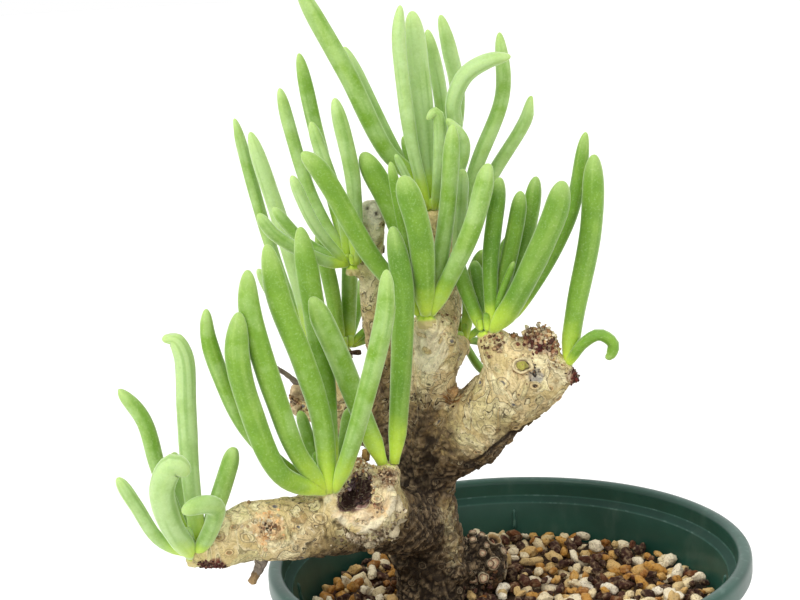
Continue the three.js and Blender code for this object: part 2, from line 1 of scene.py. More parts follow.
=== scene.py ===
"""A small succulent tree in a green plastic pot of grit: wood, leaves, pot, grit and a plain stage.

Tables and shapes are in millimetres, in the frame's own axes, and meshes are made in metres."""

import math
import random

import bpy
import numpy as np
from mathutils import Matrix, Vector, kdtree, noise
from mathutils.bvhtree import BVHTree


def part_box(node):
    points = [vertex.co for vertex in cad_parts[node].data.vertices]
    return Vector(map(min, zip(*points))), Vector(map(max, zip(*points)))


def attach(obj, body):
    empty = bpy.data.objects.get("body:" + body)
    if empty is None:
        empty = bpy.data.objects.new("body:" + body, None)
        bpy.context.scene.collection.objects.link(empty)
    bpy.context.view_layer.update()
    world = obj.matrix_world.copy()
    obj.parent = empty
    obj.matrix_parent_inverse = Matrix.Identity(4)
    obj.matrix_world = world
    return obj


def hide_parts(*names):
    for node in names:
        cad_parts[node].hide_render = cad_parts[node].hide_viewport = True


bl_info = {
    "name": "Potted succulent tree",
    "version": (1, 0, 0),
    "blender": (4, 5, 0),
    "location": "View3D > Sidebar > Succulent",
    "description": "Builds a small succulent tree in a pot of grit around its packed frame",
    "category": "Object",
}

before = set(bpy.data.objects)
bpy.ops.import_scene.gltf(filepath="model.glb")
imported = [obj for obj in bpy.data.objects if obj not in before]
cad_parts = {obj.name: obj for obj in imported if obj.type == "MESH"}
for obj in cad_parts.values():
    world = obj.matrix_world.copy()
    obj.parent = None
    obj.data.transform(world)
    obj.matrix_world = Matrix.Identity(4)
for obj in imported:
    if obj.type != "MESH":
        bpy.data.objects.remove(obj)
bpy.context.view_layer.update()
MM = 0.001
BODY = "root"
GOLDEN_ANGLE = math.pi * (3 - math.sqrt(5))

# Stage: the photo's frame is 800 by 600 pixels, seen from the front and a little above.
CAMERA_PLACE = (0.0, -0.4772, 0.2846)
CAMERA_PITCH = math.radians(11.1)
CAMERA_YAW = math.radians(-3.48)
CAMERA_ROLL = math.radians(-3.37)
CAMERA_LENS = 72.0
SENSOR_WIDTH = 36.0
KEY_PLACE = (-0.5, -0.8, 1.1)
FLOOR_SIDES = 96

# Pot
POT_HEIGHT = 110.0
RIM_RADIUS = 75.0
RIM_DEPTH = 7.0
WALL_TOP_RADIUS = 69.5
BASE_RADIUS = 53.0
WALL = 1.8
FLOOR = 2.4
MOUTH_RADIUS = 70.5
LEDGE_DEPTH = 6.0
LEDGE_SLOPE = 1.6
POT_SIDES = 192
DRAIN_COUNT = 6
DRAIN_RADIUS = 3.5
DRAIN_CIRCLE = 38.0
NUB_COUNT = 4
NUB_FIRST = math.radians(87.4)
NUB_WIDTH = 1.2
NUB_DEPTH = 0.8
NUB_HEIGHT = 7.0
NUB_BELOW_RIM = 13.5
RIM_TURN = 5
LONGEST_RUN = 6.0
DRAIN_SIDES = 32
NUB_SIDES = 16
NUB_RINGS = 13

# Grit: small stones are commoner by SMALLNESS, and others keep clear of NEARNESS times a stone's radius.
GRIT_TOP = 90.0
PEAK_HEIGHT = 2.2
BED_DEPTH = 6.0
UNDER_STONES = 3.4
HEAP_FROM = 24.0
HEAP_TO = 66.0
HEAP_HEIGHT = 3.0
GRIT_SEED = 11
SMALLNESS = 1.7
STONE_TILT = 0.45
WALL_GAP = 0.6
NEARNESS = 0.8
BED_GAP = 0.8
BED_SIDES = 72
BED_RINGS = (56, 48, 40, 32, HEAP_FROM)

# Kinds of stone, from dark brown to cream: the share of stones up to each, and its range of colours.
STONE_KINDS = ((0.2, 0, 0.1), (0.32, 0.12, 0.26), (0.52, 0.36, 0.5), (0.74, 0.52, 0.7), (1, 0.76, 1))

# Leaves: a leaf shorter than the green length keeps some of the root's colour up to its tip.
GREEN_LENGTH = 22.0
ROOT_SHARE = 0.46
NECK_SHARE = 0.36
NECK_AT = 0.14
WIDEST_AT = 0.6
TIP_FROM = 0.78
TIP_POWER = 2.6
ROOT_SPREAD = 1.8
CROWN_SHARE = 0.66
CROWN_SINK = 0.6
GROOVE_DEPTHS = (0.05, 0.16)
GROOVE_WIDTH = 0.42
SWELL_LENGTH = 12
STREAK_LENGTH = 24
YOUNG_LEAVES = 5
YOUNG_GIRTH = 2.4
YOUNG_HEIGHTS = (3, 6)
YOUNG_SPREADS = (1.9, 2.2)
FEW_LEAVES = 2
LEAF_SEED = 3372

# Wood
WOOD_SEED = 5
END_DOME = 0.5
BRANCH_SIDES = 28
BRANCH_RING = 1.6
BRANCH_LUMPS = 0.1
CALLUS_RINGS = 40
CALLUS_SIDES = 12
AGE_BLEND = 160
BLOCK = 4000
BARK_VALUES = ("age", "stain", "wear_and_highlight", "tint", "tinted")

# Each branch runs through points of x, y, z and radius, and its bark has an age from 0, pale and
# smooth, to 1, dark and scaly, at its start and at its end.
BRANCHES = {
    "trunk": ((1, 0.86), [
        (-25, 14, 60, 5), (-25, 14, 76, 10), (-25, 14, 90, 12.5), (-25, 14, 97, 11),
        (-24, 13, 109, 10), (-25, 12, 123, 9), (-25, 10, 135, 9.5), (-24, 8, 144, 7),
    ]),
    "middle": ((0.9, 0.02), [
        (-25, 10, 132, 9.5), (-23, 7, 149, 7.8), (-21, 3, 163, 7.3), (-19, -1, 175, 7.3),
        (-20, -4, 184, 6.4),
    ]),
    "top": ((0.3, 0.1), [(-19, 0, 174, 5.4), (-15, 6, 189, 4.8), (-15.5, 9, 203, 4.3), (-18, 10, 215, 4.2)]),
    "upper_left": ((0.85, 0), [
        (-28, 11, 136, 7.5), (-34, 12, 156, 5.2), (-37, 11, 175, 4.3), (-38, 10, 189, 4),
        (-38, 9, 200, 4), (-36.8, 8, 211, 4.2), (-36, 8, 219, 4),
    ]),
    "upper_left_side": ((0.1, 0), [(-38, 9, 197, 3), (-42.5, 4.5, 201, 2.8)]),
    "back_left": ((0.4, 0.1), [(-51, 18, 151, 6), (-51.5, 20, 161, 4), (-50, 22, 171, 3.4)]),
    "back_right": ((0.4, 0.1), [(-19, 2, 167, 5.4), (-15, 11, 170, 4.6), (-12, 18, 172, 4)]),
    "far_left": ((0.8, 0.15), [
        (-29, 12, 139, 8), (-40, 15, 148, 8.3), (-51, 18, 151, 8), (-60, 21, 154, 6), (-65.5, 22, 156, 4.2),
    ]),
    "far_left_up": ((0.2, 0), [(-56, 22, 155, 5.6), (-59, 27, 162, 4.6), (-60, 30, 168, 4)]),
    "right": ((0.76, 0.14), [
        (-21, 9, 137, 8.8), (-10.8, 5, 146.8, 11.8), (-1.7, 0, 156.2, 10.6), (4.6, -3, 162.5, 11.4),
        (10, -5, 169, 12.6),
    ]),
    "right_tip": ((0, 0.05), [(12, -6, 168, 9), (20, -7, 167.4, 4.8)]),
    "right_top": ((0, 0.1), [(10, -6, 171, 8), (12.5, -7, 177, 5)]),
    "right_spur": ((0, 0), [(2.4, -6, 172.5, 7.8), (-2.6, -8, 179.8, 4.4)]),
    "left": ((0.95, 0.05), [
        (-28, 7, 116, 10), (-36, -8, 123.5, 9.9), (-46, -18, 127, 9.4), (-55, -25, 128.5, 9),
        (-66, -31, 130, 9.4), (-76, -34, 130.5, 8.4), (-85, -37, 127.5, 6.8), (-90, -38, 125.5, 4.2),
    ]),
    "elbow": ((0.9, 0.1), [(-33, 0, 121, 9), (-39, -14, 129, 9.8), (-42.5, -27, 135.5, 11.4)]),
    "elbow_spur": ((0.2, 0), [(-37, -17, 136, 5.4), (-34, -20, 143.5, 3.8)]),
    "left_spur": ((0.1, 0), [(-51, -24, 131, 6.6), (-51, -27, 138.5, 4.6)]),
    "burl": ((1, 0.95), [(-17, 19, 88, 7.5), (-9.5, 24, 93.5, 8.4), (-8.5, 25, 99.5, 6.4)]),
}

# Old leaf bases stand as short pegs on the burl: where each ends, and its radius. The rest of them
# are placed by rule.
PEG_ROOT = (-10, 24, 95)
PEGS = [
    (-12.8, 12.6, 98.4, 1.5), (-8, 11.4, 96.2, 1.8), (-4.5, 14, 100, 2.1), (-8, 13.6, 103.8, 1.2),
    (-4, 19, 106.5, 2.4),
    (-14, 16, 105, 1.1), (-15, 17.5, 107.5, 1.1), (-11, 17, 107.5, 1.2), (-8, 20, 108, 1.1),
    (-11, 23, 108, 1.3),
    (-1, 20, 102, 1.4), (-1, 26, 97, 1.8), (-2.5, 30, 101, 1.8), (-7, 33, 98, 1.9), (-6.5, 16.5, 105.5, 1),
    (-11.5, 13, 95, 1.6), (-5.5, 12.5, 100.5, 1.3),
]
CUP_PEG = (-4, 19, 106.5)
SMALL_PEGS = 70
PEG_DROP = 1.25
PEG_START = 5
PEG_REACH = (8.8, 10.2)
PEG_RADII = (0.9, 1.7)
PEG_GAP = 2.0

# The hollow in the elbow's face has two lobes, and a shallow dish lies below it: middles and half
# sizes. A pale lip has healed round the dish's foot. Scars and scales set by rule keep off the face.
HOLLOW = [((-41.6, -28, 140.2), (3.5, 6.5, 4.6)), ((-45.4, -28, 137.4), (3.4, 5.6, 3.2))]
DISH = ((-41, -36.8, 135), (7.2, 4.8, 4.6))
FACE_MIDDLE = (-42, -33, 138)
SCARS_OFF_FACE = 11
FLAKES_OFF_FACE = 9
CALLUS_LIP = [
    (-51.5, -30.5, 138), (-48.5, -32.3, 133.5), (-45.5, -33.4, 131.2), (-42, -34, 130), (-39, -34.2, 130.5),
    (-35.5, -33.6, 132.7), (-33.3, -32.2, 135.2), (-32.6, -30.9, 137.7), (-33.2, -29.6, 140.3),
]
CALLUS_RADIUS = 1.6
CALLUS_COLOUR = (0.86, 0.77, 0.54)

# Lumps grown into the wood: x, y, z and radius.
LUMPS = [
    (-68.3, -38, 133.2, 4.5), (6.8, -13, 171.4, 3.4), (20, -9.5, 167, 3), (-34.3, -24.5, 142, 4),
    (-31.8, -28.5, 132.5, 3), (-34.6, -28, 127, 3.2), (-39.6, -29.5, 126, 3), (-43.6, -30, 127.4, 2.8),
    (-43, -21, 144.5, 3.2), (-20.8, -7, 184.4, 3.5), (13, -7, 177, 4), (16, -8, 175, 2.8),
    (-33, 8, 105, 4.5), (-17, 8, 100, 4.2),
    (-22, 23, 109, 4.6), (-9, 20, 102.5, 5.2), (-5.5, 19, 97.5, 4.8), (-12, 17, 97.5, 4.8),
    (-5, 25, 97.5, 4.8), (5, -5.5, 150.8, 2.2), (-1, -5.5, 148, 2.2), (-8, -4, 143.6, 2.4),
]

# Scars that the photo shows, and old ones down the trunk: x, y, z, radius and kind.
SCARS = [
    (-82.8, -42.3, 132.5, 2, "rust"), (-78.2, -41.1, 134.6, 1.3, "rust"),
    (-80.2, -37.8, 137.2, 1.3, "ring"),
    (-79.9, -42.9, 127.5, 1.3, "rust"), (-74.5, -41.9, 131.8, 2, "ring"), (-66.7, -35.9, 138.4, 1.8, "eye"),
    (-60.1, -38.2, 132.9, 1.2, "eye"), (-54, -33.7, 133.8, 2.4, "ring"), (-61, -36.5, 136, 1.5, "ring"),
    (-64.5, -40.6, 130.5, 1.1, "rust"), (-72.2, -40.5, 136.2, 1, "ring"),
    (-66.5, -40.8, 128.6, 1.1, "ring"),
    (6.9, -15.1, 172.2, 3.1, "bud"), (6, -10.6, 177.2, 2.2, "ring"), (1, -13.6, 166.8, 2.3, "eye"),
    (10.4, -16.7, 166.3, 1.9, "hole"), (4, -13.6, 160.5, 1.6, "eye"), (5.6, -15.4, 163.7, 0.7, "hole"),
    (9.4, -13, 159.5, 0.7, "hole"), (-5, -6.7, 165.3, 1.9, "eye"), (-3.8, -8.3, 151.3, 2.4, "ring"),
    (19.1, -11.1, 170.6, 1.4, "ring"), (15, -13.6, 168.6, 1.2, "ring"), (14.6, -13.9, 164.8, 1.1, "rust"),
    (-26.1, 3, 120, 1.7, "old"), (-21.8, 2.5, 119.2, 1.9, "old"), (-25, 3, 115.9, 1.4, "old"),
    (-31, 6, 113.5, 1.5, "old"), (-29.8, 5, 109, 1.4, "old"), (-24.5, 3, 110, 1.6, "old"),
    (-19.3, 5, 108.5, 1.5, "old"), (-18, 5, 120.5, 1.4, "old"), (-27, 4, 104, 1.5, "old"),
    (-21, 4, 103, 1.6, "old"), (-25, 2, 126, 1.4, "old"), (17, -12.9, 166.6, 1, "ring"),
    (-36.8, -33.2, 139, 1.7, "rust"), (-42.9, -34, 133.2, 0.7, "hole"),
]

# Scales of bark: those set by rule have radii and lifts from a range. The large ones that the photo
# shows are x, y, z, radius, how far the free edge lifts, and colour.
FLAKE_SIDES = 9
FLAKE_RADII = (0.9, 2.6)
FLAKE_LIFTS = (0.05, 0.5)
FLAKES = [
    (-49, -25, 141.5, 1.5, 0.6, (0.74, 0.58, 0.34)), (-46, -22, 145.5, 1.7, 0.7, (0.66, 0.5, 0.28)),
    (-36.8, -29.5, 142.5, 1.5, 0.5, (0.76, 0.62, 0.38)), (-31.5, -30, 136, 2.8, 1, (0.8, 0.7, 0.48)),
    (-31.2, -29, 131, 2.8, 1, (0.76, 0.66, 0.46)), (-33.6, -30, 127.6, 2.4, 0.9, (0.7, 0.6, 0.42)),
    (-45, -33, 127.5, 2.6, 0.9, (0.6, 0.46, 0.32)), (-40, -32, 124.5, 2.4, 1, (0.66, 0.54, 0.38)),
    (-14.4, -0.4, 160.6, 3.2, 1.8, (0.52, 0.27, 0.09)), (-12.6, 0.2, 161.8, 2, 1.2, (0.84, 0.68, 0.42)),
    (-59.5, -37, 135.5, 3, 0.3, (0.55, 0.36, 0.14)), (-16.9, 7.2, 127.5, 1.6, 0.8, (0.8, 0.7, 0.5)),
    (-12.4, 0, 168, 2.4, 0.9, (0.8, 0.68, 0.44)), (-11.8, -1, 172.5, 2.4, 0.9, (0.82, 0.7, 0.46)),
]

# Crumbs of dead bark and dried flower stalks: middle, reach, count, size, colours and heap's height.
RED_BROWN = [(0.14, 0.04, 0.03), (0.26, 0.09, 0.05), (0.46, 0.24, 0.13), (0.74, 0.56, 0.36), (0.6, 0.38, 0.2)]
ORANGE = [(0.95, 0.66, 0.34), (0.95, 0.8, 0.52), (0.85, 0.5, 0.22)]
CREAM = [(0.78, 0.62, 0.36), (0.6, 0.4, 0.18), (0.85, 0.74, 0.52), (0.35, 0.18, 0.08)]
TAN_BROWN = [(0.55, 0.36, 0.18), (0.36, 0.2, 0.1), (0.7, 0.52, 0.3), (0.16, 0.08, 0.04)]
DARK_RED = [(0.1, 0.015, 0.015), (0.16, 0.03, 0.02), (0.06, 0.015, 0.012)]
BROWN = [(0.3, 0.16, 0.08), (0.5, 0.32, 0.17), (0.12, 0.06, 0.03), (0.66, 0.5, 0.3)]
GREY = [(0.5, 0.38, 0.23), (0.32, 0.23, 0.13), (0.68, 0.56, 0.37), (0.22, 0.15, 0.09), (0.8, 0.68, 0.47)]
BLACK = [(0.02, 0.015, 0.012), (0.05, 0.035, 0.025), (0.1, 0.07, 0.05), (0.3, 0.24, 0.18)]
MAROON = [(0.1, 0.04, 0.03), (0.18, 0.08, 0.05), (0.06, 0.03, 0.02), (0.26, 0.13, 0.06)]
ROT = [(0.05, 0.02, 0.02), (0.12, 0.07, 0.08), (0.2, 0.14, 0.15), (0.03, 0.015, 0.012)]
CRUMBS = [
    ((11.4, -9, 179), 4, 190, 0.8, RED_BROWN, 3), ((15, -10, 176), 3, 60, 0.8, RED_BROWN, 1.6),
    ((9, -8, 182), 3.4, 90, 0.8, CREAM, 3), ((15.4, -9, 179.6), 3.4, 150, 0.8, CREAM, 3),
    ((22.4, -9.5, 166.6), 2.6, 120, 0.5, DARK_RED, 1.7), ((12.5, -12, 178), 2.6, 60, 0.6, DARK_RED, 1),
    ((-68.5, -42, 134), 5, 110, 0.85, ORANGE, 0.5), ((-68.5, -42, 134.2), 2, 90, 0.6, BROWN, 1),
    ((-47.5, -27, 141), 2.2, 70, 0.55, TAN_BROWN, 0.8), ((-38.6, -30, 141.6), 1.8, 50, 0.5, CREAM, 0.6),
    ((-34.5, -28, 144), 3.2, 130, 0.6, BROWN, 1.4),
    ((-44, -32.5, 127), 4, 110, 0.7, GREY, 1.2), ((-37, -31.5, 127.5), 4, 110, 0.7, GREY, 1.2),
    ((-32, -29, 133), 3, 60, 0.6, GREY, 0.8), ((-40, -29, 124), 4, 60, 0.6, GREY, 1),
    ((-1, -12, 179), 4, 80, 0.6, TAN_BROWN, 1.2), ((-87.5, -41, 122.8), 2.4, 60, 0.5, DARK_RED, 0.4),
    ((-84, -41.5, 123.6), 2.4, 60, 0.5, DARK_RED, 0.4), ((10.5, -10, 181), 2.8, 110, 0.7, TAN_BROWN, 3),
    ((-36.6, -33.7, 136.7), 1.4, 34, 0.45, RED_BROWN, 0.4), ((9.5, -15.5, 171), 2.8, 50, 0.5, BLACK, 0.5),
    ((6.9, -15.1, 172.2), 3.4, 60, 0.5, TAN_BROWN, 0.6), ((17, -11.5, 172), 2.5, 40, 0.5, CREAM, 0.6),
    ((-44, -20, 147.5), 3.4, 90, 0.6, TAN_BROWN, 1), ((-41, -24, 146.5), 3.4, 110, 0.55, CREAM, 1),
    ((-47, -24.5, 144), 2.6, 60, 0.5, CREAM, 0.7), ((13, -9, 181.5), 4.4, 130, 0.7, CREAM, 4.4),
    ((-66, 17, 154), 2.6, 110, 0.7, TAN_BROWN, 1.4), ((-66, 16, 160), 2.4, 90, 0.7, CREAM, 1.4),
    ((-66, 18, 158), 3, 110, 0.8, TAN_BROWN, 2.2),
    ((-11, 17, 107), 3.4, 40, 0.5, BLACK, 0.6), ((-4, 19, 106), 1.6, 30, 0.5, RED_BROWN, 0.8),
    ((-39, -17, 142), 3, 40, 0.5, CREAM, 0.7), ((-18, -4, 185), 4, 50, 0.5, TAN_BROWN, 0.7),
    ((-52, -26, 139), 3, 50, 0.5, TAN_BROWN, 0.5), ((-43.5, -27, 139.5), 3.6, 120, 0.6, ROT, 0.5),
    ((-6, 12, 92), 5, 90, 0.9, MAROON, 0.8),
]

# Places painted on the bark: middle, radius, colour and cover. Some are painted light.
PAINTED = [
    ((-46, -32, 134), 4.2, (0.86, 0.64, 0.38), 0.85), ((-41, -33, 133), 4.4, (0.92, 0.72, 0.46), 0.85),
    ((-36.5, -32.5, 136), 4, (0.84, 0.56, 0.28), 0.85),
    ((-35.5, -31.5, 139.5), 3.4, (0.84, 0.66, 0.4), 0.7),
    # The near-white paints on the upper left stem and on the middle branch are partly the bark's cream and
    # partly painted light, lifting the shade of the leaves above.
    ((-68.5, -41, 134), 5.2, (0.95, 0.66, 0.34), 0.92), ((-36, 5, 218), 6, (1, 0.96, 0.8), 0.75),
    ((-36, 5, 208), 7, (1, 0.94, 0.74), 0.5),
    ((-38, 8, 194), 7, (1, 0.92, 0.7), 0.35), ((-22, -9, 176), 8, (1, 0.94, 0.68), 0.6),
    ((-14.6, -0.8, 160.4), 3.4, (0.4, 0.18, 0.05), 0.9), ((-32, -29, 134), 3.6, (0.72, 0.6, 0.38), 0.5),
    ((-12.4, 0.4, 162.4), 1.6, (0.86, 0.74, 0.5), 0.8),
    ((7, -15, 172), 4.2, (0.7, 0.5, 0.24), 0.55), ((11, -16, 169.5), 3, (0.25, 0.25, 0.28), 0.75),
    ((17, -12.5, 168), 4, (0.62, 0.56, 0.36), 0.5), ((22, -9.5, 167), 3.2, (0.16, 0.04, 0.03), 0.9),
    ((12.6, -9, 179), 5.4, (0.2, 0.08, 0.05), 0.9), ((-34.5, -28, 143.5), 3.6, (0.34, 0.19, 0.1), 0.85),
    ((-87, -41.5, 123), 2.6, (0.14, 0.03, 0.02), 0.9), ((-4, 17, 90), 3.6, (0.3, 0.15, 0.06), 0.8),
    ((-90, -40, 127), 4, (0.5, 0.48, 0.16), 0.4), ((-84, -41.5, 124), 2.6, (0.2, 0.05, 0.03), 0.9),
]

# Dark places: middle, radius, how dark, and how deep they sink.
DARK = [
    # The first three, in the crevice where the branches part from the trunk, and the last three, on the
    # trunk's front below the elbow, are painted shade.
    ((-22, -0.3, 146), 3, 0.9, 0.6), ((-22.6, -0.3, 140), 3.6, 0.9, 0.5), ((-24, -1, 133), 4, 0.8, 0.3),
    ((-57.1, -36.7, 127), 1.2, 0.7, 0.4), ((-49, -33, 126), 3.4, 0.4, 0),
    ((-42.9, -34, 133.2), 0.9, 0.9, 0.6), ((-36.6, -33.8, 136.6), 1.4, 0.8, 0.6),
    ((-50, 14, 144.5), 4, 0.7, 0.8),
    ((-38, 4.5, 219), 1.2, 0.9, 0.7), ((-35, 4, 217), 0.9, 0.9, 0.6), ((-30, 3, 112), 6, 0.7, 0.2),
    ((-28, 1, 124), 5, 0.75, 0.2), ((-26, 3, 102), 6, 0.6, 0.2),
]

# Dark strips: the line that each follows, its radius, how dark, and how deep it sinks.
STRIPS = [
    # The first, along the right branch's lower edge, is partly a black stain and partly painted shadow under
    # the peeling edge.
    ([(8, -7, 152), (4.5, -6.8, 150), (0, -6.5, 147), (-4, -6, 143.4), (-8.5, -4.5, 140), (-13, -3, 137)],
     1.3, 0.95, 0.5),
    ([(-12, -1, 143), (-16, 0, 140), (-19, 1, 135)], 1.6, 0.85, 0.4),
    ([(-15.6, 0, 160), (-17, -1.5, 152), (-20, -1, 146)], 1.4, 0.85, 0.4),
    ([(-51, -33.6, 134), (-53.5, -33.6, 131), (-52, -33.4, 126)], 0.8, 0.7, 0.3),
]

# Places where the bark is younger or, below 0, older than its branch: middle, radius and amount.
# On a branch's underside the bark is painted older, and so darker: painted shade.
UNDERSIDE_SHADE = 0.16
YOUNGER = [
    ((-16.5, 5, 122), 9, 0.54), ((-16, 5, 114), 9, 0.54), ((-16, 6, 106), 8, 0.48),
    ((-73, -40, 129), 16, 0.25), ((-17, 3, 130), 4, 0.25),
    # The one at (-24, -6, 174) makes the middle branch paler where the leaves shade it: painted light.
    ((-8, -4, 150), 9, 0.55), ((-24, -6, 174), 10, 0.4), ((-24, -2, 155), 7, -0.15),
    ((-10, -5, 144), 7, 0.3), ((5, -5, 147), 4.5, -0.5), ((-3, -6, 142), 4, -0.5),
    ((-10, -3, 137), 4, -0.4),
    ((-30, 0, 132), 5, -0.2),
]

# Dead twigs and dried flower stalks: x, y, z and radius along each, and colour.
STUB_SIDES = 14
TWIG_GREY, TWIG_TAN, TWIG_DARK = (0.36, 0.3, 0.24), (0.46, 0.3, 0.14), (0.1, 0.04, 0.03)
TWIGS = [
    ([(-71, -34, 126, 2.6), (-72.6, -34, 120, 1.7), (-73.8, -34, 117.6, 1.2)], TWIG_GREY),
    ([(-73.4, -34, 118.6, 1.2), (-75.4, -34, 115, 1.2)], TWIG_TAN),
    ([(-62, 19, 157, 1.5), (-66, 17, 163.5, 0.9), (-70.2, 14, 168, 0.7)], TWIG_GREY),
    ([(-62, 18, 158, 2.4), (-66, 16, 160, 1.8)], (0.72, 0.55, 0.32)),
    ([(-63, 19, 154, 2.2), (-66, 16, 153, 1.6)], (0.72, 0.55, 0.32)),
    ([(10, -7, 176, 2.6), (11, -9.5, 181, 1.3)], TWIG_DARK),
    ([(14, -8, 176, 2.2), (16, -10.5, 179, 1.2)], TWIG_DARK),
    ([(19, -7, 167, 2.4), (23, -9, 166, 1.2)], TWIG_DARK),
    ([(-86, -38, 125, 2), (-87.5, -40.5, 123.2, 1.2)], TWIG_DARK),
    ([(-40.4, -25, 124, 1.2), (-40.4, -27.5, 120.5, 1)], (0.7, 0.42, 0.16)),
    ([(-41, -18, 146, 1.2), (-40.8, -18, 149, 1.1)], (0.72, 0.42, 0.14)),
    ([(-74, -33.5, 137, 0.8), (-74.4, -34.5, 139.8, 0.6)], TWIG_TAN),
    ([(-44, 22, 170, 0.9), (-48.5, 20, 170, 0.6), (-50, 19, 167, 0.5)], TWIG_DARK),
]

# Leaf scars wind round a branch by the golden angle: the branch, where they start and end as shares
# of its length, how many there are, where round it the first one lies, and their radius.
SCAR_RUNS = [
    ("left", 0.38, 0.97, 17, 1.3, 1.9),
    ("right", 0.4, 0.99, 17, 0.4, 1.9),
    ("middle", 0.3, 0.97, 12, 2.1, 1.7),
    ("top", 0.25, 0.97, 10, 0.6, 1.3),
    ("upper_left", 0.25, 0.98, 18, 0.2, 1.2),
    ("far_left", 0.3, 0.97, 12, 1, 1.7),
    ("far_left_up", 0.3, 0.9, 4, 1, 1.3),
    ("back_left", 0.2, 0.9, 5, 2, 1.2),
    ("back_right", 0.2, 0.9, 5, 1, 1.2),
    ("elbow", 0.5, 0.8, 5, 3.4, 1.7),
    ("trunk", 0.4, 0.9, 22, 0.9, 1.5),
]

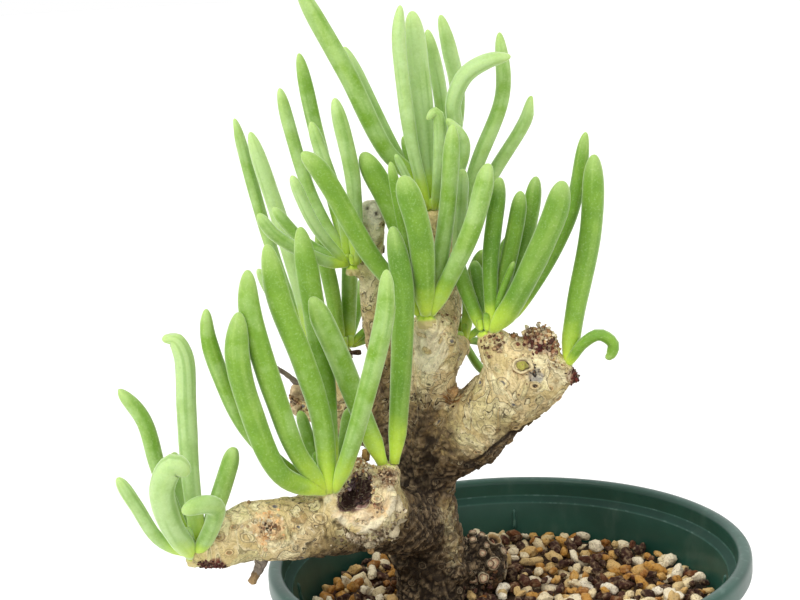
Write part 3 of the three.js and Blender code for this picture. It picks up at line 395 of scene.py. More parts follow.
# Each tuft: its growing point, the radius of its crown, how pale it is, from 0, deep green, to 1,
# pale and downy, and its leaves. A leaf is its girth and the points that it runs through, counted
# from the growing point.
TUFTS = {
    "leaves_left_tip": ((-91, -38, 126), 3.6, 0.85, [
        (5, (-10, 8, 23), (-14, 11, 38), (-21, 13, 47)),
        (4.5, (-9, -4, 6), (-14, -8, 18), (-18, -10, 27)),
        (7.5, (-4, -12, 15), (-4, -16, 26), (0, -17, 32), (4, -16, 29)),
        (6.5, (0.7, 0, 22), (0.8, 2, 43), (1.2, 2, 59), (-0.9, 1, 64), (-4, 0, 64)),
        (5.5, (8, -9, 12), (10, -15, 19), (7, -19, 21), (2, -22, 20)),
        (6, (9, 2, 18), (14, 2, 31)),
        (2.5, (0, -4, 6), (0, -6, 10)),
        (3, (0, 4, 5), (1, 7, 10)),
        (4.5, (-5, 11, 12), (-7, 17, 26)),
    ]),
    "leaves_left_middle": ((-51, -27, 140), 4.2, 0.58, [
        (5.5, (-13, -4, 9), (-23, -7, 23), (-31, -9, 49), (-31, -9, 58)),
        (7.4, (-12.8, -11, 8.8), (-19.8, -15, 30.5), (-22, -16, 45), (-20.6, -16, 58)),
        (7, (-8, -8, 14), (-12, -11, 29), (-18, -12, 57), (-18, -11, 69)),
        (4, (-4, 5, 6), (-9, 10, 22)),
        (7, (-1, -4, 23), (-5, -7, 42), (-10, -7, 58), (-13, -5, 75)),
        (7, (-1, 9, 33), (-6, 19, 76)),
        (6, (6, -6, 11), (11, -9, 25), (20, -11, 55), (21, -10, 67)),
        (3, (-2, 0, 5), (-4, 0, 12)),
        (4.5, (3, 10, 7), (5, 22, 19)),
    ]),
    "leaves_left_elbow": ((-34, -20, 145), 3.4, 0.4, [
        (7.5, (-6, 1, 12), (-13, -3, 36), (-19, -6, 53)),
        (7, (3, 2, 9), (6, 4, 37), (7, 4, 53), (5, 4, 71)),
    ]),
    "leaves_middle": ((-21, -8, 188), 4.4, 0.52, [
        (7.5, (0, -9, 25), (-4, -11, 43)),
        (5.5, (8, 0, 31), (11, 0, 56)),
        (6.5, (15, -8, 26), (21, -9, 45)),
        (7, (-7, 0, 7), (-15, -1, 18), (-28, -7, 45), (-33, -9, 51)),
        (7.5, (-7, 10, 26), (-17, 12, 48)),
        (3.5, (-5, 2, 22), (-8, 0, 46)),
    ]),
    "leaves_right": ((-3, -8, 182), 4, 0.25, [
        (5, (-7, 4, 16), (-9, 8, 23)),
        (4, (-1, 6, 8), (-3, 13, 19)),
        (5.5, (2, -1, 21), (6, -2, 46)),
        (5.5, (10, 3, 31), (12, 3, 41)),
        (5.5, (10, 9, 19), (14, 11, 30), (17, 12, 44)),
        (8, (7, -4, 7), (21, -9, 35), (24, -10, 45)),
        (5, (9, 3, 5), (26, 6, 32), (32, 7, 57)),
        (2.5, (4, -2, 9), (9, -3, 21)),
        (5, (3, 12, 7), (8, 25, 24)),
    ]),
    "leaves_right_tip": ((18.8, -7.6, 170), 3, 0.55, [
        (7.4, (4.8, 0, 17), (10, 0, 40), (12, 0, 63)),
        (4, (6.6, -4, 7.4), (11.4, -5, 10), (15.4, -5, 7), (14.4, -5, 3.6), (12.8, -5, 2.8)),
    ]),
    "leaves_top": ((-18, 10, 217), 4, 0.82, [
        (6.5, (-6, 2, 10), (-13, 2, 18), (-24, 2, 43), (-37, 2, 69)),
        (4.5, (-11, 10, 17), (-25.5, 16, 50)),
        (4.5, (-5, -5, 21), (-7, -7, 52), (-6, -7, 62)),
        (7, (-1, 1, 20), (-3, 1, 60)),
        (4.5, (1, 6, 8), (4, 9, 20), (4, 10, 33), (1, 10, 54)),
        (5, (3, 13, 6), (7, 19, 19), (9, 21, 34), (7, 21, 48), (5, 20, 58)),
        (5.5, (8, 0, 24), (8, -1, 32), (12, -2, 40), (19, -3, 44), (26, -3, 45)),
        (3.5, (2, -6, 8), (3, -8, 30), (0, -9, 28)),
        (3.5, (6, -5, 6), (11, -7, 20), (6, -9, 28)),
        (3.5, (-4, 6, 6), (-8, 9, 22)),
        (2.5, (-5, -4, 6), (-10, -7, 18)),
    ]),
    "leaves_behind_middle": ((-12, 9, 198), 3.2, 0.7, [
        (5, (7, 4, 28), (17, 8, 52), (17, 8, 71)),
        (4.5, (5, 6, 12), (12, 10, 26), (24, 12, 44), (26, 12, 51)),
        (4.5, (2, -5, 12), (4, -10, 32)),
        (4.5, (4, 9, 8), (8, 20, 28)),
    ]),
    "leaves_upper_left": ((-43, 4, 202), 3.4, 0.72, [
        (4, (-10, -6, 13), (-16, -8, 29)),
        (4.5, (-8, -4, 2), (-22, -7, 11), (-27, -8, 18)),
        (4, (-15, 4, 7), (-24, 4, 18)),
        (4.5, (-12, 8, 20), (-18, 10, 43), (-20, 10, 54)),
        (4.8, (-4.5, 8, 14), (-10.8, 15, 43), (-14, 16, 64)),
        (4.5, (-2, 1, 13), (-10, 0, 44)),
        (5, (2, -3, 25), (-2, -4, 51)),
        (2.5, (3, -5, 9), (1, -8, 17)),
    ]),
    "leaves_back_left": ((-49, 22, 172), 3.4, 0.5, [
        (5.5, (-2.4, -2, 18), (-5.6, -3, 38)),
        (5.5, (2, 2, 12), (3, 2, 24), (4, 4, 42)),
        (4.5, (2, 8, 5), (7, 18, 20)),
        (3, (5, 3, 3), (14, 6, 9)),
        (3, (7, 6, 1), (13, 10, 2)),
    ]),
    "leaves_back_right": ((-12, 19, 173), 3.4, 0.5, [
        (4, (-1, 2, 6), (-3, 2, 29)),
        (4.5, (3, 1, 9), (4, -2, 18), (9, -7, 30)),
        (3, (9, 6, 4), (15, 8, 8)),
        (3, (9, 11, -3), (15, 15, -2)),
        (3, (6, 11, -12), (10, 15, -16)),
        (4.5, (-2, 10, 12), (-5, 17, 30)),
    ]),
    "leaves_far_left": ((-60, 30, 169), 3.4, 0.85, [
        (4.4, (-12.6, 4, 37), (-20.8, 4, 77)),
        (5.5, (-1, -3, 11), (-6, -3, 38), (-15, -3, 73)),
        (4, (-6, -4, 8), (-15, -9, 30)),
        (5, (1, 8, 10), (0, 13, 20), (-1, 16, 31)),
    ]),
}


def paint(red, green, blue):
    """A colour of 0 to 255 as a screen shows it, in the linear numbers that shaders take."""
    linear = []
    for level in (red, green, blue):
        share = level / 255
        linear.append(share / 12.92 if share <= 0.04045 else ((share + 0.055) / 1.055) ** 2.4)
    return tuple(linear)


def colour_setting(name, description, levels):
    """A colour that a user may change, with its default as levels of 0 to 255."""
    return bpy.props.FloatVectorProperty(
        name=name, description=description, subtype="COLOR", default=paint(*levels), min=0, max=1,
    )


def number_setting(name, description, default, least):
    """A size, or a whole number where its default is one, that a user may change."""
    kind = bpy.props.IntProperty if isinstance(default, int) else bpy.props.FloatProperty
    return kind(name=name, description=description, default=default, min=least)


def smoothstep(value, low, high):
    """A smooth rise from 0 at low to 1 at high, or a fall where low is the larger."""
    share = np.clip((np.asarray(value, float) - low) / (high - low), 0, 1)
    return share * share * (3 - 2 * share)


def angles_round(sides):
    """Evenly spaced angles of one full turn."""
    return np.arange(sides) / sides * 2 * math.pi


def unit(vectors):
    """The vectors scaled to a length of 1."""
    vectors = np.asarray(vectors, float)
    return vectors / np.maximum(np.linalg.norm(vectors, axis=-1, keepdims=True), 1e-9)


def noise_at(places, scale, seed):
    return np.array([noise.noise(Vector(place) * scale + seed) for place in places])


def smooth_line(points, samples):
    """Places along a centripetal Catmull-Rom curve through points."""
    knots = [np.array(point[:3], float) for point in points]
    knots = [2 * knots[0] - knots[1], *knots, 2 * knots[-1] - knots[-2]]
    spans = len(points) - 1
    shares = np.linspace(0, spans, samples)
    places = np.zeros((samples, 3))
    for i, share in enumerate(shares):
        span = min(int(share), spans - 1)
        a, b, c, d = knots[span:span + 4]
        steps = ((a, b), (b, c), (c, d))
        before, between, after = (max(np.linalg.norm(q - p) ** 0.5, 1e-4) for p, q in steps)
        start = (b - a) / before - (c - a) / (before + between) + (c - b) / between
        end = (c - b) / between - (d - b) / (between + after) + (d - c) / after
        t = share - span
        start, end = start * between, end * between
        places[i] = b + start * t + (3 * (c - b) - 2 * start - end) * t ** 2
        places[i] += (2 * (b - c) + start + end) * t ** 3
    return places


class Route:
    """A smooth line through points, measured by its length."""

    def __init__(self, points, samples=161):
        self.places = smooth_line(points, samples)
        steps = np.linalg.norm(np.diff(self.places, axis=0), axis=1)
        self.marks = np.concatenate([[0], np.cumsum(steps)])
        self.length = self.marks[-1]
        knots = np.linspace(0, 1, len(points))
        self.point_shares = np.interp(knots, np.linspace(0, 1, samples), self.marks) / self.length

    def at(self, shares):
        lengths = np.clip(shares, 0, 1) * self.length
        return np.stack([np.interp(lengths, self.marks, self.places[:, axis]) for axis in range(3)], axis=1)

    def tangents(self, shares):
        step = 0.01
        return unit(self.at(np.minimum(shares + step, 1)) - self.at(np.maximum(shares - step, 0)))

    def frames(self, shares, facing):
        """Two axes across the line, carried along it without twist. The first starts as near to
        facing as it can."""
        tangents = self.tangents(shares)
        across = np.zeros_like(tangents)
        current = np.array(facing, float)
        for i, tangent in enumerate(tangents):
            current = current - tangent * np.dot(current, tangent)
            if np.linalg.norm(current) < 1e-6:
                current = np.cross(tangent, (0.3, 0.5, 0.8))
            current = current / np.linalg.norm(current)
            across[i] = current
        return across, np.cross(tangents, across)


def around(sides):
    """Each side's number with the next one's."""
    return [(side, (side + 1) % sides) for side in range(sides)]


def fan(middle, ring, sides):
    """Triangles from a middle point to a ring, whose first point is given."""
    return [(middle, ring + side, ring + after) for side, after in around(sides)]


def skirt(inner, outer, sides):
    """Faces that carry a fan on, from a ring to the next."""
    return [(inner + side, outer + side, outer + after, inner + after) for side, after in around(sides)]


def band(low, high, sides):
    """Faces of a tube's wall, from a ring to the next."""
    return [(low + side, low + after, high + after, high + side) for side, after in around(sides)]


def tube_faces(rings, sides):
    """The faces of a closed tube whose last two points are the middles of its ends."""
    faces = []
    for ring in range(rings - 1):
        faces += band(ring * sides, (ring + 1) * sides, sides)
    start = rings * sides
    last = start - sides
    for side, after in around(sides):
        faces += [(start, after, side), (start + 1, last + side, last + after)]
    return faces


def tube(route, shares, radii, facing=(0, -1, 0)):
    """A closed tube. radii has a row for each share and a column for each side."""
    rings, sides = radii.shape
    across, other = route.frames(shares, facing)
    middles = route.at(shares)
    angles = angles_round(sides)
    arms = across[:, None] * np.cos(angles)[None, :, None] + other[:, None] * np.sin(angles)[None, :, None]
    places = middles[:, None] + arms * radii[:, :, None]
    return np.concatenate([places.reshape(-1, 3), middles[[0, -1]]]), tube_faces(rings, sides)


class Shells:
    """Gathers closed surfaces in millimetres, with the values painted on their points."""

    def __init__(self, *values):
        self.places = []
        self.faces = []
        self.values = {name: [] for name in values}
        self.count = 0

    def add(self, places, faces, **values):
        """Adds a surface. A value is one for all its points or one for each, and a tint is a colour."""
        self.places.append(np.asarray(places, float))
        self.faces.extend(tuple(corner + self.count for corner in face) for face in faces)
        self.count += len(places)
        for name, painted in self.values.items():
            shape = (len(places), 3) if name == "tint" else (len(places),)
            painted.append(np.broadcast_to(np.asarray(values.get(name, 0.0), float), shape))

    def mesh(self, name, scale=MM, smooth=True):
        if not self.places:
            raise RuntimeError(f"{name} has no surfaces")
        places = np.concatenate(self.places) * scale
        mesh = bpy.data.meshes.new(name)
        mesh.from_pydata(places.tolist(), [], self.faces)
        for value, painted in self.values.items():
            set_value(mesh, value, np.concatenate(painted))
        if smooth:
            mesh.shade_smooth()
        return mesh


def set_value(mesh, name, values):
    """Stores a number or a colour for each point of the mesh, which its material reads by name."""
    values = np.asarray(values, np.float32)
    if values.ndim == 1:
        mesh.attributes.new(name, "FLOAT", "POINT").data.foreach_set("value", values)
    else:
        opaque = np.ones((len(values), 1), np.float32)
        colours = np.concatenate([values, opaque], axis=1)
        mesh.attributes.new(name, "FLOAT_COLOR", "POINT").data.foreach_set("color", colours.ravel())


def read(elements, name, width, kind=np.float32):
    """The named numbers of a mesh's elements, one row for each."""
    values = np.zeros(len(elements) * width, kind)
    elements.foreach_get(name, values)
    return values.reshape(-1, width)


def places_of(mesh):
    return read(mesh.vertices, "co", 3).astype(float)


def normals_of(mesh):
    return read(mesh.vertex_normals, "vector", 3).astype(float)


def set_places(mesh, places):
    mesh.vertices.foreach_set("co", np.asarray(places, np.float32).ravel())
    mesh.update()


def kept_in_box(mesh, node):
    """Moves any point that stands outside the CAD node's box to its face."""
    low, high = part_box(node)
    set_places(mesh, np.clip(places_of(mesh), np.array(low), np.array(high)))


def linked(name, data):
    """A new object in the scene."""
    owner = bpy.data.objects.new(name, data)
    bpy.context.scene.collection.objects.link(owner)
    return owner


def make_piece(name, mesh, material, nodes=()):
    """Makes a finished mesh a piece of the object that rides on its body."""
    piece = linked(name, mesh)
    piece.data.materials.append(material)
    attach(piece, BODY)
    if nodes:
        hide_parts(*nodes)
    return piece


def with_modifiers(mesh, *steps):
    """The mesh after modifiers, each given as its type and settings."""
    worker = linked("worker", mesh)
    for kind, settings in steps:
        modifier = worker.modifiers.new(kind, kind)
        for setting, value in settings.items():
            setattr(modifier, setting, value)
    graph = bpy.context.evaluated_depsgraph_get()
    finished = bpy.data.meshes.new_from_object(worker.evaluated_get(graph))
    bpy.data.objects.remove(worker)
    return finished


def carved(mesh, tools, *steps, crossing=False):
    """The mesh with the tools' shapes, which may cross each other, cut out, and then the modifiers."""
    cutter = linked("cutter", tools.mesh("cutter", scale=1.0))
    cut = {"operation": "DIFFERENCE", "object": cutter, "solver": "EXACT", "use_self": crossing}
    finished = with_modifiers(mesh, ("BOOLEAN", cut), *steps)
    bpy.data.objects.remove(cutter)
    return finished


# Materials

class Finish:
    """A material and short ways to add nodes to it."""

    def __init__(self, name):
        self.material = bpy.data.materials.new(name)
        self.material.use_nodes = True
        self.tree = self.material.node_tree
        self.shader = self.tree.nodes["Principled BSDF"]

    def node(self, kind, settings=None, **inputs):
        node = self.tree.nodes.new(kind)
        for setting, value in (settings or {}).items():
            setattr(node, setting, value)
        for name, value in inputs.items():
            self.feed(node.inputs[name.replace("_", " ")], value)
        return node

    def feed(self, socket, value):
        """Links an output to the socket, or sets the socket to a number or colour."""
        if isinstance(value, bpy.types.NodeSocket):
            self.tree.links.new(value, socket)
        elif socket.type == "RGBA":
            socket.default_value = (*value, 1.0)
        else:
            socket.default_value = value

    def shade(self, **inputs):
        for name, value in inputs.items():
            self.feed(self.shader.inputs[name.replace("_", " ")], value)

    def value(self, name, output="Fac"):
        return self.node("ShaderNodeAttribute", {"attribute_name": name}).outputs[output]

    def object_place(self):
        return self.node("ShaderNodeTexCoord").outputs["Object"]

    def stretched(self, vector, scale):
        return self.node("ShaderNodeMapping", Vector=vector, Scale=scale).outputs["Vector"]

    def noise(self, vector, scale, detail=3.0, roughness=0.5, distortion=0.0):
        return self.node(
            "ShaderNodeTexNoise", Vector=vector, Scale=scale, Detail=detail, Roughness=roughness,
            Distortion=distortion,
        ).outputs["Fac"]

    def math(self, operation, first, second=0.0, clamp=False):
        node = self.node("ShaderNodeMath", {"operation": operation, "use_clamp": clamp})
        self.feed(node.inputs[0], first)
        self.feed(node.inputs[1], second)
        return node.outputs["Value"]

    def times(self, first, second):
        return self.math("MULTIPLY", first, second)

    def spread(self, value, low, high, to_low=0.0, to_high=1.0):
        """The value between low and high, spread smoothly between the two others."""
        node = self.node("ShaderNodeMapRange", {"interpolation_type": "SMOOTHSTEP"}, Value=value)
        for name, number in (("From Min", low), ("From Max", high), ("To Min", to_low), ("To Max", to_high)):
            node.inputs[name].default_value = number
        return node.outputs["Result"]

    def ramp(self, value, *stops):
        """Colours along a value: each stop is a place from 0 to 1 and a colour."""
        node = self.node("ShaderNodeValToRGB", Fac=value)
        elements = node.color_ramp.elements
        while len(elements) < len(stops):
            elements.new(1.0)
        for element, (place, colour) in zip(elements, stops):
            element.position = place
            element.color = (*colour, 1.0)
        return node.outputs["Color"]

    def mix(self, share, first, second, blend="MIX"):
        node = self.node("ShaderNodeMix", {"data_type": "RGBA", "blend_type": blend})
        self.feed(node.inputs[0], share)
        self.feed(node.inputs[6], first)
        self.feed(node.inputs[7], second)
        return node.outputs[2]

    def bump(self, height, distance, strength=1.0, under=None):
        node = self.node("ShaderNodeBump", Height=height, Distance=distance, Strength=strength)
        if under is not None:
            self.feed(node.inputs["Normal"], under)
        return node.outputs["Normal"]


def pot_finish(settings):
    """Satin moulded plastic, with dust, water marks, pale scuffs and a painted highlight on its edges, and
    painted shade on the inner ledge.
    """
    finish = Finish("pot_plastic")
    mix, spread, times = finish.mix, finish.spread, finish.times
    place = finish.object_place()
    cloud = finish.noise(place, 28, 4, 0.6)
    dust = spread(finish.noise(finish.stretched(place, (1, 1, 0.35)), 90, 5, 0.65), 0.52, 0.78)
    colour = mix(spread(cloud, 0.3, 0.7), settings.colour, settings.light_colour)
    wear_and_highlight, grime = finish.value("scuff"), finish.value("grime")
    scuff = times(wear_and_highlight, spread(finish.noise(place, 420, 3), 0.52, 0.72))
    colour = mix(times(dust, 0.1), colour, paint(150, 160, 140))
    colour = mix(times(scuff, 0.5), colour, paint(150, 175, 165))
    # Painted shade on the inner ledge, whose plastic is also rougher.
    colour = mix(times(grime, 0.4), colour, paint(6, 30, 24))
    # A painted highlight: lighter plastic all along the scuffed edges.
    colour = mix(times(wear_and_highlight, 0.4), colour, paint(70, 116, 102))
    grain = finish.noise(place, 900, 2)
    finish.shade(
        Base_Color=colour,
        Roughness=finish.math("MAXIMUM", spread(dust, 0, 1, 0.34, 0.52), times(grime, 0.9)),
        Specular_IOR_Level=0.5,
        Normal=finish.bump(grain, 0.00004, 0.5, finish.bump(cloud, 0.0002, 0.4)),
    )
    return finish.material


def grit_finish(settings):
    """Dry stones, each of its own colour, speckled and pitted."""
    finish = Finish("grit_stones")
    mix, spread, times = finish.mix, finish.spread, finish.times
    place = finish.object_place()
    kind = finish.value("kind")
    colour = finish.ramp(
        kind,
        (0, paint(44, 22, 16)), (0.2, paint(78, 40, 24)), (0.34, paint(146, 92, 40)),
        (0.5, paint(202, 150, 68)), (0.66, paint(214, 184, 126)), (0.82, paint(234, 216, 174)),
        (1, paint(246, 236, 212)),
    )
    mottle = finish.noise(place, 700, 4, 0.6)
    colour = mix(spread(mottle, 0.45, 0.75, 0, 0.45), colour, settings.dust_colour)
    colour = mix(spread(mottle, 0.46, 0.3, 0, 0.6), colour, paint(140, 96, 56), "MULTIPLY")
    pits = spread(finish.noise(place, 1700, 2), 0.56, 0.68)
    colour = mix(times(pits, 0.45), colour, paint(70, 48, 30))
    finish.shade(
        Base_Color=colour,
        Roughness=0.85,
        Specular_IOR_Level=0.3,
        Normal=finish.bump(finish.noise(place, 900, 4, 0.65), 0.0006, 0.8),
    )
    return finish.material


def bed_finish():
    """The dark gaps between stones: shaded grit and dust."""
    finish = Finish("grit_bed")
    place = finish.object_place()
    cloud = finish.noise(place, 500, 4, 0.6)
    colour = finish.ramp(cloud, (0.3, paint(40, 27, 18)), (0.7, paint(96, 70, 44)))
    finish.shade(Base_Color=colour, Roughness=0.95, Normal=finish.bump(finish.noise(place, 800), 0.0006))
    return finish.material


def leaf_finish(settings):
    """Fleshy leaf under a soft down, yellow-green at the root, with faint streaks along it and painted shade
    in its groove.
    """
    finish = Finish("leaf_flesh")
    mix, spread, times = finish.mix, finish.spread, finish.times
    place = finish.object_place()
    run = finish.value("run")
    streak = finish.value("streak")
    cloud = finish.noise(place, 140, 3, 0.55)
    paleness = finish.math("ADD", finish.value("pale"), spread(cloud, 0.3, 0.7, -0.16, 0.16), clamp=True)
    stops = (0, settings.dark_colour), (0.5, settings.colour), (1, settings.light_colour)
    green = finish.ramp(paleness, *stops)
    green = mix(spread(streak, 0.52, 0.8, 0, 0.4), green, paint(104, 150, 30))
    green = mix(spread(streak, 0.46, 0.2, 0, 0.16), green, paint(188, 214, 120))
    # Painted shade: darker green in the groove.
    green = mix(times(finish.value("groove"), 0.4), green, paint(96, 142, 30))
    shifted = finish.math("ADD", run, spread(cloud, 0.3, 0.7, -0.04, 0.04))
    colour = mix(spread(shifted, 0.02, 0.27), settings.root_colour, green)
    colour = mix(spread(run, 0.86, 1, 0, 0.45), colour, paint(190, 214, 132))
    down = finish.noise(place, 1500, 4, 0.7)
    colour = mix(spread(down, 0.5, 0.78, 0, 0.3), colour, paint(212, 228, 172))
    colour = mix(spread(down, 0.46, 0.26, 0, 0.22), colour, paint(82, 126, 24))
    colour = mix(finish.value("husk"), colour, paint(196, 180, 126))
    finish.shade(
        Base_Color=colour,
        Roughness=0.55,
        Specular_IOR_Level=0.35,
        Subsurface_Weight=0.3,
        Subsurface_Scale=0.0025,
        Sheen_Weight=0.9,
        Sheen_Roughness=0.35,
        Sheen_Tint=(0.86, 1, 0.7),
        Normal=finish.bump(down, 0.00012, 0.5),
    )
    finish.shader.inputs["Subsurface Radius"].default_value = (0.7, 1, 0.2)
    return finish.material


def peeled(finish, place, scale, layers, torn_scale):
    """Thin layers that peel along curved edges: how far into its layer a place lies, the layer's own
    number from 0 to 1, and where its torn edge shows."""
    field = finish.times(finish.noise(place, scale, 2, 0.5, 1.2), layers)
    rise = finish.math("FRACT", field)
    own = finish.math("FRACT", finish.times(finish.math("FLOOR", field), 0.618))
    torn = finish.spread(finish.noise(place, torn_scale, 2), 0.42, 0.54)
    return rise, own, torn


def bark_finish(settings):
    """Pale bark that peels in curved layers, greenish where fresh, and turns dark and scaly with age; the
    layers' edges get painted shadow lines and painted highlights.
    """
    finish = Finish("bark")
    mix, spread, times = finish.mix, finish.spread, finish.times
    place = finish.object_place()
    age = finish.value("age")
    young = spread(age, 0.2, 0.65, 1, 0)
    rise, own, torn = peeled(finish, finish.stretched(place, (1, 1, 0.65)), 120, 7, 170)
    fine_rise, fine_own, fine_torn = peeled(finish, place, 300, 6, 420)
    # A dark line along each layer's edge: partly its dark outline, partly painted shadow.
    line = times(spread(rise, 0.2, 0.04), torn)
    fine_line = times(spread(fine_rise, 0.2, 0.04), fine_torn)
    # A pale rim on the other side of each edge: partly its pale lip, partly a painted highlight.
    rim = times(spread(rise, 0.76, 0.97), torn)
    mottle = finish.noise(place, 330, 5, 0.65)
    greenish = spread(finish.noise(place, 100, 2), 0.4, 0.62)
    fresh = mix(greenish, settings.young_colour, settings.fresh_colour)
    fresh = mix(spread(own, 0.5, 0.95, 0, 0.5), fresh, paint(206, 170, 112))
    fresh = mix(spread(own, 0.4, 0, 0, 0.5), fresh, paint(246, 230, 182))
    fresh = mix(spread(fine_own, 0.5, 1, 0, 0.35), fresh, paint(176, 156, 104))
    aged = finish.math("ADD", age, spread(mottle, 0.25, 0.75, -0.16, 0.16))
    aged = finish.math("ADD", aged, spread(fine_own, 0, 1, -0.08, 0.08), clamp=True)
    old = finish.ramp(
        aged,
        (0.15, paint(204, 178, 120)), (0.4, paint(162, 134, 86)), (0.6, paint(118, 96, 66)),
        (0.8, paint(76, 62, 44)), (1, settings.old_colour),
    )
    colour = mix(young, old, fresh)
    colour = mix(spread(mottle, 0.5, 0.66, 0, 0.34), colour, paint(170, 142, 96), "MULTIPLY")
    # Painted highlights on the raised tops of old bark.
    highlit_tops = times(finish.value("wear_and_highlight"), spread(mottle, 0.4, 0.54, 0.25, 0.8))
    colour = mix(highlit_tops, colour, paint(170, 146, 112))
    dabs = spread(mottle, 0.35, 0.65, 0, 0.4)
    tint = mix(dabs, finish.value("tint", "Color"), paint(84, 60, 40), "MULTIPLY")
    colour = mix(finish.value("tinted"), colour, tint)
    # The pale rim, partly a painted highlight, fades where the bark is old.
    rim = times(rim, spread(age, 0.3, 0.9, 0.45, 0.1))
    colour = mix(rim, colour, paint(244, 230, 192))
    lines = finish.math("MAXIMUM", times(line, 0.95), times(fine_line, 0.75))
    lines = times(lines, spread(finish.value("tinted"), 0.3, 0.9, 1, 0.25))
    lines = times(lines, spread(age, 0, 0.45, 0.5, 1))
    # One dark colour for the layers' edge lines, real stains and painted shade.
    colour = mix(finish.math("MAXIMUM", lines, finish.value("stain")), colour, paint(38, 26, 16))
    speckle = finish.noise(place, 1600, 3, 0.6)
    colour = mix(spread(speckle, 0.56, 0.7, 0, 0.35), colour, paint(64, 46, 28))
    pale_speckle = times(spread(speckle, 0.44, 0.32, 0, 0.25), young)
    colour = mix(pale_speckle, colour, paint(246, 232, 186))
    height = finish.math("ADD", times(rise, 0.9), times(fine_rise, 0.35))
    height = finish.math("ADD", height, times(speckle, 0.4))
    finish.shade(
        Base_Color=colour,
        Roughness=0.8,
        Specular_IOR_Level=0.3,
        Normal=finish.bump(height, 0.0007, 0.9),
    )
    return finish.material


def floor_finish(settings):
    """A plain pale floor with the faintest unevenness."""
    finish = Finish("floor_paper")
    cloud = finish.noise(finish.object_place(), 3, 2)
    colour = finish.mix(cloud, settings.floor_colour, paint(250, 250, 248))
    finish.shade(Base_Color=colour, Roughness=0.9, Specular_IOR_Level=0.1)
    return finish.material


# Pot

def rounded(corner, before, after, radius):
    """Points of an arc-like turn at an outline's corner."""
    corner, before, after = (np.array(point, float) for point in (corner, before, after))
    start = corner + (before - corner) / np.linalg.norm(before - corner) * radius
    end = corner + (after - corner) / np.linalg.norm(after - corner) * radius
    shares = np.linspace(0, 1, RIM_TURN)[:, None]
    return (1 - shares) ** 2 * start + 2 * shares * (1 - shares) * corner + shares ** 2 * end


def wall_inside(height):
    """The wall's inner radius at a height."""
    share = (height - FLOOR) / (POT_HEIGHT - LEDGE_DEPTH - LEDGE_SLOPE - FLOOR)
    return (BASE_RADIUS - WALL) + share * (WALL_TOP_RADIUS - BASE_RADIUS)


def pot_outline():
    """The pot's section: each corner with the radius of its turn."""
    rim_foot = POT_HEIGHT - RIM_DEPTH
    ledge = POT_HEIGHT - LEDGE_DEPTH
    corners = [
        ((BASE_RADIUS, 0), 2.4), ((WALL_TOP_RADIUS, rim_foot), 0.8), ((RIM_RADIUS - 0.6, rim_foot), 0.9),
        ((RIM_RADIUS, rim_foot + 1.2), 0.6), ((RIM_RADIUS, POT_HEIGHT), 2.2),
        ((MOUTH_RADIUS, POT_HEIGHT), 2.0),
        ((MOUTH_RADIUS - 0.1, ledge), 0.4), ((WALL_TOP_RADIUS - WALL, ledge - LEDGE_SLOPE), 0.5),
        ((BASE_RADIUS - WALL, FLOOR), 2.0),
    ]
    points = [corner for corner, _ in corners]
    before = [(0, 0), *points[:-1]]
    after = [*points[1:], (0, FLOOR)]
    turns = [rounded(point, b, a, radius) for (point, radius), b, a in zip(corners, before, after)]
    return np.concatenate(turns)


def filled_in(outline, longest):
    """The outline with points added on its long straight runs."""
    filled = [outline[0]]
    for before, after in zip(outline[:-1], outline[1:]):
        steps = max(1, math.ceil(np.linalg.norm(after - before) / longest))
        filled.extend(before + (after - before) * (step + 1) / steps for step in range(steps))
    return np.array(filled)


def turned(outline, sides):
    """A closed surface turned about the pot's axis from an outline of radii and heights."""
    angles = angles_round(sides)
    radii, heights = outline[:, :1], outline[:, 1:]
    rings = [radii * np.cos(angles), radii * np.sin(angles), np.repeat(heights, sides, axis=1)]
    ends = [(0, 0, outline[0][1]), (0, 0, outline[-1][1])]
    return np.concatenate([np.stack(rings, axis=2).reshape(-1, 3), ends]), tube_faces(len(outline), sides)


def pot_mesh():
    outline = filled_in(pot_outline(), LONGEST_RUN)
    places, faces = turned(outline, POT_SIDES)
    scuff = np.zeros(len(places))
    grime = np.zeros(len(places))
    ledge = POT_HEIGHT - LEDGE_DEPTH
    edges = ((MOUTH_RADIUS - 0.1, ledge), (WALL_TOP_RADIUS - WALL, ledge - LEDGE_SLOPE))
    for ring, (radius, height) in enumerate(outline):
        away = min(math.hypot(radius - edge[0], height - edge[1]) for edge in edges)
        # Pale marks along the ledge's two edges and, fainter, on the rim's top: scuffs and a painted
        # highlight.
        on_rim = 0.25 if height > POT_HEIGHT - 0.4 else 0.0
        scuff[ring * POT_SIDES:(ring + 1) * POT_SIDES] = max(on_rim, 1 - away / 0.35)
        # The ledge's face is marked for painted shade.
        on_ledge = radius < MOUTH_RADIUS and ledge - LEDGE_SLOPE - 0.2 < height < ledge + 0.2
        grime[ring * POT_SIDES:(ring + 1) * POT_SIDES] = float(on_ledge)
    shells = Shells("scuff", "grime")
    shells.add(places, faces, scuff=scuff, grime=grime)
    return with_drains(shells.mesh("pot_body", scale=1.0))


def cylinder(middle, radius, height, sides):
    """A closed upright cylinder."""
    angles = angles_round(sides)
    ring = np.stack([np.cos(angles) * radius, np.sin(angles) * radius, np.zeros(sides)], axis=1)
    low, high = np.array([0, 0, -height / 2]), np.array([0, 0, height / 2])
    places = np.concatenate([ring + low, ring + high, [low, high]]) + np.array(middle, float)
    return places, tube_faces(2, sides)


def with_drains(mesh):
    """The pot with its drain holes cut through its floor."""
    holes = Shells()
    for index in range(DRAIN_COUNT):
        angle = index / DRAIN_COUNT * 2 * math.pi
        middle = (DRAIN_CIRCLE * math.cos(angle), DRAIN_CIRCLE * math.sin(angle), FLOOR / 2)
        holes.add(*cylinder(middle, DRAIN_RADIUS, FLOOR * 3, DRAIN_SIDES))
    return carved(mesh, holes)


